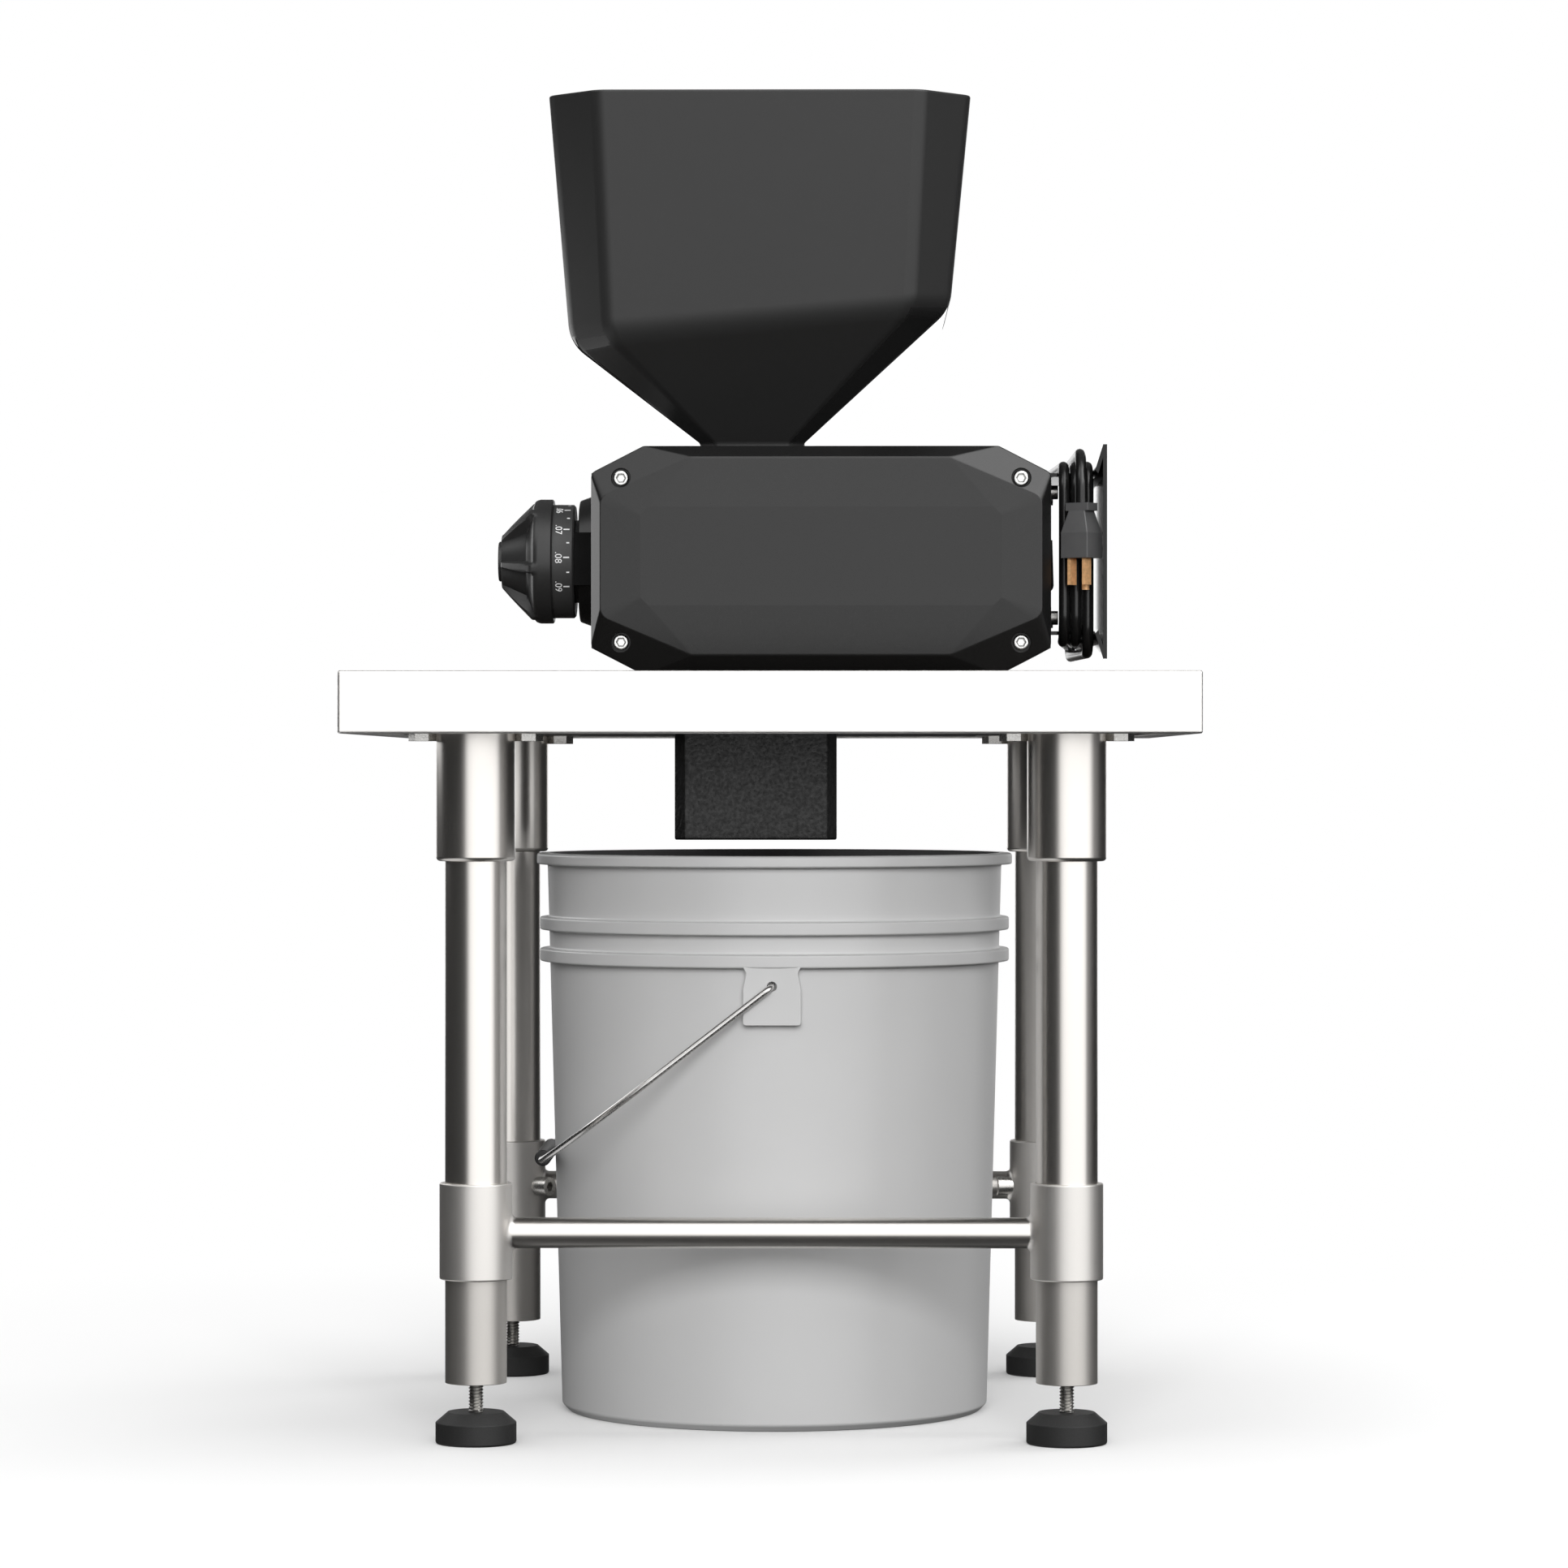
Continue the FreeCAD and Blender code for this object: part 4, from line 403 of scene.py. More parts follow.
for sub_part in frame["record"]["subparts"]:
    solid = frame["nodes"][sub_part["node"]]
    solid.data.materials.clear()
    solid.data.materials.append(LOOKS[OWN_LOOKS.get(sub_part["node"], sub_part["material_slot"])])
second_look(frame["nodes"]["cord_wrap"].data, "wrap_satin", lambda face: face.normal.x > WRAP_OUTWARD)


# Camera and light

CAMERA_AT = Vector((0.0375, -3.499, 0.4173))
CAMERA_AIM = Vector((0.0062, 0.0, 0.4067))
CAMERA_LENS = 122.98
CAMERA_SENSOR = 36.0

# Cards of the studio that only gloss sees. Spans are bearings in degrees from the camera's side toward
# the right; rises are the upward part of a direction.

FRONT_CARD = 1.5
FRONT_SPAN = (-17, 66)
FRONT_SOFT = 15
REAR_SPAN = (160, 181)
REAR_SOFT = 8
REAR_RISE = (-0.05, 0.25)
REAR_RISE_SOFT = 0.006
TOP_CARD = 0.12
TOP_RISE = (0.55, 1.1)
LOW_RISE = (-0.1, 2.0)
RISE_SOFT = 0.25
CORNER_CARDS = (
    ((14, 75), (0.45, 0.85), 4.0),
    ((-75, -30), (0.6, 0.85), 1.8),
    ((-150, -40), (-0.9, -0.55), 0.7),
)
CORNER_SOFT = 14
CORNER_RISE_SOFT = 0.15
LEFT_TONE = 0.03
RIGHT_TONE = 0.16
RIGHT_SPAN = (0, 95)
RIGHT_SOFT = 15

AMBIENT = 0.6
SKY_RISE = (0.1, 2.0)
SKY_SOFT = 0.3
FLOOR_SIZE = 60.0
FLOOR_TONE = 0.8
FLOOR_GLOW = 0.12
FLOOR_NEAR = 0.45
FLOOR_FAR = 1.1


def make_camera():
    data = bpy.data.cameras.new("camera")
    data.sensor_width = CAMERA_SENSOR
    data.lens = CAMERA_LENS
    camera = bpy.data.objects.new("camera", data)
    camera.location = CAMERA_AT
    camera.rotation_euler = (CAMERA_AIM - CAMERA_AT).to_track_quat("-Z", "Y").to_euler()
    bpy.context.scene.collection.objects.link(camera)
    bpy.context.scene.camera = camera


def make_light(name, place, aim, width, height, power, gloss=False):
    """Area lamp that gives either plain light or, for gloss, only its reflection."""
    data = bpy.data.lights.new(name, "AREA")
    data.shape = "RECTANGLE"
    data.size = width
    data.size_y = height
    data.energy = power
    lamp = bpy.data.objects.new(name, data)
    lamp.location = place
    lamp.rotation_euler = (Vector(aim) - Vector(place)).to_track_quat("-Z", "Y").to_euler()
    lamp.visible_glossy = gloss
    lamp.visible_diffuse = not gloss
    lamp.visible_camera = False
    bpy.context.scene.collection.objects.link(lamp)


def window(tree, value, low, high, soft):
    """1 between low and high, falling off over soft on both sides."""
    up = add(tree, "ShaderNodeMapRange", interpolation_type="SMOOTHSTEP")
    down = add(tree, "ShaderNodeMapRange", interpolation_type="SMOOTHSTEP")
    for fit, start, end in ((up, low - soft, low), (down, high + soft, high)):
        fit.inputs["From Min"].default_value = start
        fit.inputs["From Max"].default_value = end
        link(tree, value, fit.inputs["Value"])
    return math_node(tree, "MULTIPLY", up.outputs["Result"], down.outputs["Result"])


def make_world():
    """White to the eye; in gloss a studio with a bright front and overhead card and darker sides."""
    world = bpy.data.worlds.new("studio")
    bpy.context.scene.world = world
    world.use_nodes = True
    tree = world.node_tree
    back = tree.nodes["Background"]
    back.inputs["Color"].default_value = (1, 1, 1, 1)

    def times(first, second):
        return math_node(tree, "MULTIPLY", first, second)

    def plus(first, second):
        return math_node(tree, "ADD", first, second)

    def larger(first, second):
        return math_node(tree, "MAXIMUM", first, second)

    def span(angle, ends, soft):
        low, high = ends
        return window(tree, angle, math.radians(low), math.radians(high), math.radians(soft))

    place = add(tree, "ShaderNodeTexCoord")
    axes = add(tree, "ShaderNodeSeparateXYZ")
    link(tree, place.outputs["Generated"], axes.inputs[0])
    bearing = math_node(tree, "ARCTAN2", axes.outputs["X"], times(axes.outputs["Y"], -1.0))
    up = axes.outputs["Z"]
    front = span(bearing, FRONT_SPAN, FRONT_SOFT)
    aside = math_node(tree, "ABSOLUTE", bearing)
    rear = times(span(aside, REAR_SPAN, REAR_SOFT), window(tree, up, *REAR_RISE, REAR_RISE_SOFT))
    top = window(tree, up, *TOP_RISE, RISE_SOFT)
    low = window(tree, up, *LOW_RISE, RISE_SOFT)
    cards = times(larger(times(front, low), rear), FRONT_CARD)
    cards = larger(cards, times(top, TOP_CARD))
    for ends, rise, level in CORNER_CARDS:
        patch = times(span(bearing, ends, CORNER_SOFT), window(tree, up, *rise, CORNER_RISE_SOFT))
        cards = larger(cards, times(patch, level))
    right = span(bearing, RIGHT_SPAN, RIGHT_SOFT)
    sides = plus(times(times(right, low), RIGHT_TONE), LEFT_TONE)
    studio = plus(cards, sides)
    rays = add(tree, "ShaderNodeLightPath")
    glossy = times(rays.outputs["Is Glossy Ray"], studio)
    seen = larger(rays.outputs["Is Camera Ray"], rays.outputs["Is Transmission Ray"])
    lit = plus(glossy, seen)
    sky = times(window(tree, up, *SKY_RISE, SKY_SOFT), AMBIENT)
    diffuse = times(rays.outputs["Is Diffuse Ray"], sky)
    link(tree, plus(lit, diffuse), back.inputs["Strength"])


def make_floor():
    """White floor that keeps the soft shadow round the object and fades to plain white."""
    mesh = bpy.data.meshes.new("floor")
    half = FLOOR_SIZE / 2
    mesh.from_pydata([(x, y, 0) for x, y in rectangle(-half, half, -half, half)], [], [(0, 1, 2, 3)])
    floor = bpy.data.objects.new("floor", mesh)
    bpy.context.scene.collection.objects.link(floor)
    paint = bpy.data.materials.new("floor")
    paint.use_nodes = True
    tree = paint.node_tree
    tree.nodes.remove(tree.nodes["Principled BSDF"])
    diffuse = add(tree, "ShaderNodeBsdfDiffuse", Color=(FLOOR_TONE, FLOOR_TONE, FLOOR_TONE, 1))
    glow = add(tree, "ShaderNodeEmission", Color=(1, 1, 1, 1))
    rays = add(tree, "ShaderNodeLightPath")
    seen = math_node(tree, "MAXIMUM", rays.outputs["Is Camera Ray"], rays.outputs["Is Transmission Ray"])
    link(tree, math_node(tree, "MULTIPLY", seen, FLOOR_GLOW), glow.inputs["Strength"])
    both = add(tree, "ShaderNodeAddShader")
    link(tree, diffuse.outputs[0], both.inputs[0])
    link(tree, glow.outputs[0], both.inputs[1])
    white = add(tree, "ShaderNodeEmission", Color=(1, 1, 1, 1), Strength=1.0)
    place = add(tree, "ShaderNodeTexCoord")
    far = add(tree, "ShaderNodeVectorMath", operation="LENGTH")
    link(tree, place.outputs["Object"], far.inputs[0])
    fade = add(tree, "ShaderNodeMapRange", interpolation_type="SMOOTHSTEP")
    fade.inputs["From Min"].default_value = FLOOR_NEAR
    fade.inputs["From Max"].default_value = FLOOR_FAR
    link(tree, far.outputs["Value"], fade.inputs["Value"])
    mixed = add(tree, "ShaderNodeMixShader")
    link(tree, math_node(tree, "MULTIPLY", fade.outputs["Result"], seen), mixed.inputs["Fac"])
    link(tree, both.outputs[0], mixed.inputs[1])
    link(tree, white.outputs[0], mixed.inputs[2])
    link(tree, mixed.outputs[0], tree.nodes["Material Output"].inputs["Surface"])
    mesh.materials.append(paint)
    floor.visible_glossy = False
    floor.visible_diffuse = False


make_camera()
make_world()
make_floor()
make_light("key", place=(0.2, -5.0, 1.8), aim=(0, 0, 0.45), width=2.6, height=2.2, power=190)
make_light("side", place=(3.1, 1.8, 0.8), aim=(0, 0, 0.3), width=2.0, height=2.0, power=55)
make_light("top", place=(0, -0.3, 3.5), aim=(0, 0, 0.4), width=2.4, height=2.4, power=42)
make_light("edge", place=(-0.6, 0.25, 0.6), aim=(-0.11, -0.12, 0.56), width=0.5, height=0.32, power=1.1,
           gloss=True)
bpy.context.scene.view_settings.view_transform = "Standard"


# Stand: worktop, sockets, legs, stretchers and feet. Here and below, EDGES are the roundings of a section,
# one for each of its corners.

WORKTOP_EDGE = 1.4
WORKTOP_SHEET = 1.2
WORKTOP_LIP = 22.0
WORKTOP_CORNER = 1.6
WORKTOP_INNER_CORNER = 0.3
HOLE_CORNER = 3.0
CHUTE_FLANGE = 7.0
CHUTE_ROOM = 2.0
LEG_BORE = 19.1
LEG_WALL = 1.6
LEG_EDGE = 0.4
SOCKET_RADIUS = 24.5
SOCKET_EDGE = 5.0
SOCKET_LIP = 0.5
SOCKET_ARC = 6
SOCKET_PLATE = 3.0
PLATE_CORNER = 3.0
SLEEVE_RADIUS = 22.5
SLEEVE_EDGE = 1.0
SLEEVE_MARGIN = 0.5
BAR_RADIUS = 9.5
BAR_HEIGHT = 130.0
BAR_STEPS = 48
WELD = 3.0
WELD_SINK = 1.0
WELD_STEPS = 6
FOOT_RIM = 13.0
FOOT_TOP_RADIUS = 17.5
FOOT_EDGES = (0, 1.5, 0.8, 0.6, 0)
THREAD_PITCH = 2.0
THREAD_DEPTH = 1.1
THREAD_RINGS = 6


def level_ring(left, right, front, back, corner, height, steps=6):
    """Rounded rectangle lying flat at a height."""
    return rounded([(x, y, height) for x, y in rectangle(left, right, front, back)], corner, steps)


def across(levels):
    """Turns rings stacked at levels into one line of points for each place round the ring."""
    return [[ring[index] for ring in levels] for index in range(len(levels[0]))]


def skin(levels, radii, steps=4, closed=True):
    """Form through rings at levels, with an arc of a radius where the section turns at each level."""
    lines = [rounded(line, radii, steps, closed) for line in across(levels)]
    if closed:
        return loft(lines, around=True)
    return loft(across(lines))


def make_worktop():
    box = Box("table_top")
    hole = Box("chute")
    low, high = box.low, box.high
    inner = WORKTOP_EDGE - WORKTOP_SHEET
    inset = CHUTE_FLANGE - CHUTE_ROOM

    def ring(inward, height):
        return level_ring(low.x + inward, high.x - inward, low.y + inward, high.y - inward,
                          max(WORKTOP_CORNER - inward, WORKTOP_INNER_CORNER), height)

    def hole_ring(height):
        return level_ring(hole.low.x + inset, hole.high.x - inset, hole.low.y + inset, hole.high.y - inset,
                          HOLE_CORNER, height)

    levels = [
        hole_ring(high.z),
        ring(0.0, high.z),
        ring(0.0, low.z),
        ring(WORKTOP_LIP, low.z),
        ring(WORKTOP_LIP, low.z + WORKTOP_SHEET),
        ring(WORKTOP_SHEET, low.z + WORKTOP_SHEET),
        ring(WORKTOP_SHEET, high.z - WORKTOP_SHEET),
        hole_ring(high.z - WORKTOP_SHEET),
    ]
    form = skin(levels, [0, WORKTOP_EDGE, WORKTOP_EDGE, 0, 0, inner, inner, 0])
    sheet = piece("worktop_sheet", "stand", "stainless_sheet", [form], ("table_top",))
    # Gloss and diffuse rays pass through the sheet; gloss then meets the near-black core board, painted shade
    # under the worktop
    sheet.visible_diffuse = False
    sheet.visible_glossy = False


def make_socket(corner):
    box = Box("leg_socket_" + corner)
    top = box.high.z - SOCKET_PLATE
    section = [(LEG_BORE, box.low.z), (SOCKET_RADIUS, box.low.z), (SOCKET_RADIUS, top), (LEG_BORE, top)]
    cup = lathe(section, [SOCKET_LIP, SOCKET_EDGE, 0, 0], SOCKET_ARC)
    cup = moved(cup, at(box.middle.x, box.middle.y, 0))
    plate = slab(level_ring(box.low.x, box.high.x, box.low.y, box.high.y, PLATE_CORNER, 0), top, box.high.z)
    piece("socket_cup_" + corner, "stand", "stainless_tube", [cup, plate], ("leg_socket_" + corner,))


def make_leg(corner):
    """Tube in two lengths that meet behind the sleeve, the lower one rougher and painted darker as shade."""
    box = Box("leg_" + corner)
    outer = box.size.y / 2
    inner = outer - LEG_WALL
    forms = []
    for low, high in ((box.low.z, BAR_HEIGHT), (BAR_HEIGHT, box.high.z)):
        section = [(inner, low), (outer, low), (outer, high), (inner, high)]
        forms.append(moved(lathe(section, LEG_EDGE), at(box.middle.x, box.middle.y, 0)))
    leg = piece("leg_tube_" + corner, "stand", "stainless_tube", forms, ("leg_" + corner,))
    # The lower length takes a darker colour: painted shade
    second_look(leg.data, "stainless_painted_shade", lambda face: face.center.z < BAR_HEIGHT * MM)


def make_stretcher(side):
    """Bar welded between the two sleeves, with a hollow weld round each end."""
    box = Box(side + "_stretcher")
    reach = box.size.x / 2 - SLEEVE_RADIUS
    section = [(LEG_BORE, box.low.z), (SLEEVE_RADIUS, box.low.z), (SLEEVE_RADIUS, box.high.z),
               (LEG_BORE, box.high.z)]
    sleeves = [moved(lathe(section, SLEEVE_EDGE), at(x, box.middle.y, 0)) for x in (-reach, reach)]

    def ring(end, radius, stand):
        points = []
        for turn in turns(BAR_STEPS):
            y = radius * math.cos(turn)
            x = end * (reach - math.sqrt(SLEEVE_RADIUS ** 2 - y * y) - stand)
            points.append(Vector((x, box.middle.y + y, BAR_HEIGHT + radius * math.sin(turn))))
        return points

    weld = [(BAR_RADIUS + WELD, -WELD_SINK)]
    for step in range(WELD_STEPS + 1):
        turn = math.pi / 2 * step / WELD_STEPS
        weld.append((BAR_RADIUS + WELD * (1 - math.sin(turn)), WELD * (1 - math.cos(turn))))
    rings = [ring(-1, radius, stand) for radius, stand in weld]
    rings += [ring(1, radius, stand) for radius, stand in reversed(weld)]
    bar = piece(side + "_stretcher_bar", "stand", "stainless_tube", [loft(rings)] + sleeves,
                (side + "_stretcher",))
    sleeve_side = (reach - SLEEVE_RADIUS - SLEEVE_MARGIN) * MM
    second_look(bar.data, "stainless_satin", lambda face: abs(face.center.x) > sleeve_side)


def thread(radius, low, high, steps=28):
    """Screw thread about Z."""
    count = int((high - low) / THREAD_PITCH * THREAD_RINGS)
    rings = []
    for index in range(count + 1):
        height = low + (high - low) * index / count
        ring = []
        for step, turn in enumerate(turns(steps)):
            phase = (height / THREAD_PITCH - step / steps) % 1.0
            reach = radius - THREAD_DEPTH * abs(2 * phase - 1)
            ring.append(Vector((reach * math.cos(turn), reach * math.sin(turn), height)))
        rings.append(ring)
    return loft(rings)


def make_foot(corner):
    box = Box("foot_pad_" + corner)
    radius = box.size.x / 2
    place = at(box.middle.x, box.middle.y, 0)
    section = [(0, 0), (radius, 0), (radius, FOOT_RIM), (FOOT_TOP_RADIUS, box.high.z), (0, box.high.z)]
    pad = moved(lathe(section, FOOT_EDGES), place)
    piece("foot_" + corner + "_pad", "foot_" + corner, "foot_rubber", [pad], ("foot_pad_" + corner,))
    box = Box("foot_stud_" + corner)
    stud = moved(thread(box.size.x / 2, box.low.z, box.high.z), place)
    bolt = piece("foot_" + corner + "_stud", "foot_" + corner, "bolt_steel", [stud], ("foot_stud_" + corner,))
    bolt.data.materials[0] = LOOKS["stud_steel"]


make_worktop()
for corner in CORNERS:
    make_socket(corner)
    make_leg(corner)
    make_foot(corner)
for side in ("front", "rear"):
    make_stretcher(side)


# Mill: front cover with its screws, hopper and chute

MILL_CORNER = (33.0, 17.0)
MILL_CORNER_ROUND = 5.0
PANEL_CORNER = (58.0, 25.0)
PANEL_CORNER_ROUND = 8.5
PANEL_INSET = 6.0
PANEL_INSET_TOP = 7.5
PANEL_INSET_LOW = 12.0
PANEL_CROWN = 1.7
CROWN_INSET = 25.5
CROWN_HALF = 31.0
CROWN_CORNER = (5.0, 5.0)
CROWN_CORNER_ROUND = 1.0
COVER_RIM = 6.0
COVER_EDGES = (0, 1.5, 1.0, 0)
FACET_MARGIN = 0.4
FACET_ANGLE = 1.0
SCREW_INSET = (19.0, 20.5)
SCREW_RECESS = 6.25
SCREW_SEAT = 4.0
WELL_REACH = 30.0
WELL_STEPS = 64


def octagon(left, right, low, high, corner, depth, radius):
    """Rectangle with cut and rounded corners, standing at a depth."""
    cut_x, cut_z = corner
    points = [(left, low + cut_z), (left, high - cut_z), (left + cut_x, high), (right - cut_x, high),
              (right, high - cut_z), (right, low + cut_z), (right - cut_x, low), (left + cut_x, low)]
    return rounded([(x, depth, z) for x, z in points], radius)


def keep_facets(obj, front, angle):
    """Keeps the shallow facets in front of a depth flat."""
    bm = bmesh.new()
    bm.from_mesh(obj.data)
    for edge in bm.edges:
        ahead = all(face.calc_center_median().y < front * MM for face in edge.link_faces)
        if ahead and len(edge.link_faces) == 2 and edge.calc_face_angle() > math.radians(angle):
            edge.smooth = False
    bm.to_mesh(obj.data)
    bm.free()


def screw_places():
    """Where the cover screws stand, across and up."""
    box = Box("front_cover")
    inset_x, inset_z = SCREW_INSET
    columns = (box.low.x + inset_x, box.high.x - inset_x)
    rows = (box.low.z + inset_z, box.high.z - inset_z)
    return [(x, z) for x in columns for z in rows]


def make_front_cover():
    box = Box("front_cover")
    low, high = box.low, box.high
    rim = high.y - COVER_RIM
    edge = low.y + PANEL_CROWN
    left = low.x + PANEL_INSET
    right = high.x - PANEL_INSET
    bottom = low.z + PANEL_INSET_LOW
    top = high.z - PANEL_INSET_TOP
    middle = (bottom + top) / 2
    levels = [
        octagon(low.x, high.x, low.z, high.z, MILL_CORNER, high.y, MILL_CORNER_ROUND),
        octagon(low.x, high.x, low.z, high.z, MILL_CORNER, rim, MILL_CORNER_ROUND),
        octagon(left, right, bottom, top, PANEL_CORNER, edge, PANEL_CORNER_ROUND),
        octagon(left + CROWN_INSET, right - CROWN_INSET, middle - CROWN_HALF, middle + CROWN_HALF,
                CROWN_CORNER, low.y, CROWN_CORNER_ROUND),
    ]
    form = skin(levels, COVER_EDGES, closed=False)
    section = [(0, SCREW_SEAT), (SCREW_RECESS, SCREW_SEAT), (SCREW_RECESS, WELL_REACH), (0, WELL_REACH)]
    well = lathe(section, steps=WELL_STEPS)
    wells = [moved(well, at(x, high.y, z) @ ALONG_MINUS_Y) for x, z in screw_places()]
    cover = piece("mill_front_cover", "stand", "black_shell", [form], ("front_cover",), cuts=wells)
    keep_facets(cover, edge + FACET_MARGIN, FACET_ANGLE)


# Screw: radius and height of the head, radius and depth of the six-sided socket, radius and length of
# the shank. The socket narrows to a share of its size near the floor and widens to one at the mouth.

SCREW_HEAD = (5.0, 5.0)
SCREW_SOCKET = (2.9, 3.2)
SCREW_SHANK = (2.5, 17.0)
SCREW_EDGES = (0, 0.3, 0, 0.3, 1.1, 0)
SCREW_STEPS = 48
HEX_SIDES = 6
HEX_FLOOR = (0.8, 0.6)
HEX_MOUTH = (1.16, 0.45)
HEX_ABOVE = (0.05, 1.0)


def cover_screw(place):
    """Round head with a six-sided socket, head toward +Z, and the well that makes the socket."""
    radius, height = SCREW_HEAD
    shank, reach = SCREW_SHANK
    socket, deep = SCREW_SOCKET
    head = lathe([(0, -reach), (shank, -reach), (shank, 0), (radius, 0), (radius, height), (0, height)],
                 SCREW_EDGES, steps=SCREW_STEPS)
    floor = height - deep
    narrow, rise = HEX_FLOOR
    wide, drop = HEX_MOUTH
    stations = [(narrow, floor), (1.0, floor + rise), (1.0, height - drop)]
    stations += [(wide, height + above) for above in HEX_ABOVE]
    rim = circle(socket, 0, HEX_SIDES)
    well = loft([[Vector((point.x * size, point.y * size, level)) for point in rim]
                 for size, level in stations])
    return moved(head, place), moved(well, place)


def make_cover_screws():
    box = Box("cover_screws")
    front = box.low.y + SCREW_HEAD[1]
    back = box.high.y - SCREW_HEAD[1]
    heads = []
    wells = []
    for x, z in screw_places():
        for place in (at(x, front, z) @ ALONG_MINUS_Y, at(x, back, z) @ ALONG_PLUS_Y):
            head, well = cover_screw(place)
            heads.append(head)
            wells.append(well)
    piece("cover_screw_heads", "stand", "bright_screw", heads, ("cover_screws",), cuts=wells)


# Rings of the hopper: width, depth, cut of the corners, their radius, and where the middle lies across.

HOPPER_WALL = 3.0
HOPPER_TOP = (267.6, 268.0, 31.0, 14.0, -8.3)
HOPPER_BEND = (241.8, 243.0, 25.0, 14.0, -8.3)
HOPPER_BEND_HEIGHT = 698.0
HOPPER_BEND_TILT = 5.1
THROAT = (66.4, 130.0, 10.0, 4.0, -13.8)
THROAT_HIGH = 625.5
THROAT_LIP = 0.5
THROAT_ROUND = 4.0
HOPPER_LIP = 1.3
HOPPER_ROUND = 25.0
HOPPER_STEPS = 8
RING_STEPS = 6
SLOPE_SIDE = 0.45
TAB_WIDTH = 46.4
TAB_REACH = 15.0
TAB_THICK = 3.0
TAB_CORNER = 3.0
TAB_OVERLAP = 2.0


def cut_ring(size, inset, height, tilt=0.0):
    """Rectangle with cut and rounded corners, lying at a height and tilted to the left."""
    width, depth, cut, radius, centre = size
    half_x = width / 2 - inset
    half_y = depth / 2 - inset
    tips = [(cut - half_x, -half_y), (half_x - cut, -half_y), (half_x, cut - half_y), (half_x, half_y - cut),
            (half_x - cut, half_y), (cut - half_x, half_y), (-half_x, half_y - cut), (-half_x, cut - half_y)]
    slope = math.tan(math.radians(tilt))
    return rounded([(centre + x, y, height + slope * x) for x, y in tips], radius, RING_STEPS)


def make_hopper():
    box = Box("hopper")
    levels = []
    for inset, way in ((0.0, 1), (HOPPER_WALL, -1)):
        side = [
            cut_ring(HOPPER_TOP, inset, box.high.z),
            cut_ring(HOPPER_BEND, inset, HOPPER_BEND_HEIGHT, HOPPER_BEND_TILT),
            cut_ring(THROAT, inset, THROAT_HIGH),
            cut_ring(THROAT, inset, box.low.z),
        ]
        levels += side[::way]
    turn = [HOPPER_LIP, HOPPER_ROUND, THROAT_ROUND, THROAT_LIP]
    forms = [skin(levels, turn + turn[::-1], HOPPER_STEPS)]
    base = Box("front_cover").high.z
    back = THROAT[1] / 2
    centre = THROAT[4]
    tab = level_ring(centre - TAB_WIDTH / 2, centre + TAB_WIDTH / 2, back - TAB_OVERLAP, back + TAB_REACH,
                     TAB_CORNER, 0)
    forms.append(slab(tab, base, base + TAB_THICK))
    shell = piece("hopper_shell", "stand", "hopper_plastic", forms, ("hopper",))

    def side_slope(face):
        return abs(face.normal.x) > SLOPE_SIDE and face.normal.z < -SLOPE_SIDE

    second_look(shell.data, "hopper_gloss", side_slope)


CHUTE_CORNER = 6.5
CHUTE_WALL = 3.0
CHUTE_FLANGE_THICK = 2.5
CHUTE_LEAST_CUT = 3.5
CHUTE_ROUND = 1.2
CHUTE_EDGES = (1.2, 0.5, 0.5, 0.5, 0.5, 1.2)


def make_chute():
    box = Box("chute")
    low, high = box.low, box.high
    seat = high.z - CHUTE_FLANGE_THICK

    def ring(inset, height):
        width = high.x - low.x - 2 * inset
        depth = high.y - low.y - 2 * inset
        cut = max(CHUTE_CORNER + CHUTE_FLANGE - inset, CHUTE_LEAST_CUT)
        return cut_ring((width, depth, cut, CHUTE_ROUND, box.middle.x), 0.0, height)

    levels = [
        ring(CHUTE_FLANGE, low.z),
        ring(CHUTE_FLANGE, seat),
        ring(0.0, seat),
        ring(0.0, high.z),
        ring(CHUTE_FLANGE + CHUTE_WALL, high.z),
        ring(CHUTE_FLANGE + CHUTE_WALL, low.z),
    ]
    piece("chute_duct", "stand", "chute_plastic", [skin(levels, CHUTE_EDGES)], ("chute",))


make_front_cover()
make_cover_screws()
make_hopper()
make_chute()


# Gap knob with its dial, and the flange that it turns on

AXIS_HEIGHT = 552.0
KNOB_LANDS = 6
KNOB_FIRST_LAND = -9.0
KNOB_STEPS = 240
LAND_EASE = 3.0
NECK_RADIUS = 27.0
KNOB_BACK = -143.8
KNOB_CREASE = 38

# Stations of the knob: place along X, radius of the lands and of the hollows, and half a land in degrees.

KNOB_LINE = (
    (-180.0, 12.4, 12.4, 4.0),
    (-179.4, 13.0, 13.0, 4.0),
    (-177.9, 13.0, 13.0, 4.0),
    (-177.8, 17.9, 16.9, 4.0),
    (-177.2, 18.9, 17.6, 4.0),
    (-172.0, 24.9, 20.0, 4.3),
    (-166.0, 31.5, 23.2, 4.3),
    (-161.5, 36.4, 25.4, 4.0),
    (-160.3, 37.7, 26.6, 3.8),
    (-159.0, 39.1, 30.0, 3.6),
    (-158.0, 40.1, 33.4, 3.5),
    (-157.2, 40.5, 36.2, 3.4),
    (-156.2, 40.5, 38.6, 3.3),
    (-155.2, 40.5, 39.6, 3.2),
    (-154.0, 40.5, 40.1, 3.2),
    (-152.5, 40.5, 40.5, 3.2),
    (-144.6, 40.5, 40.5, 3.2),
    (-143.8, 39.7, 39.7, 3.2),
)
DIAL_RADIUS = 37.0
DIAL_CHAMFER = 1.2
DIAL_EDGE = 0.2
DIAL_STEPS = 160
FLANGE_BORE = 10.0
FLANGE_SMALL = 39.5
FLANGE_LARGE = 44.0
FLANGE_EDGES = (0, 1.5, 0.3, 0)
FLANGE_STEPS = 128
NUMBER_COUNT = 9
NUMBER_SHOWN = 8
NUMBER_TURN = 2.0
NUMBER_STEP = 30.0
NUMBER_SIZE = 6.3
NUMBER_MIDDLE = -139.6
TICK_LONG = (-136.3, -132.4)
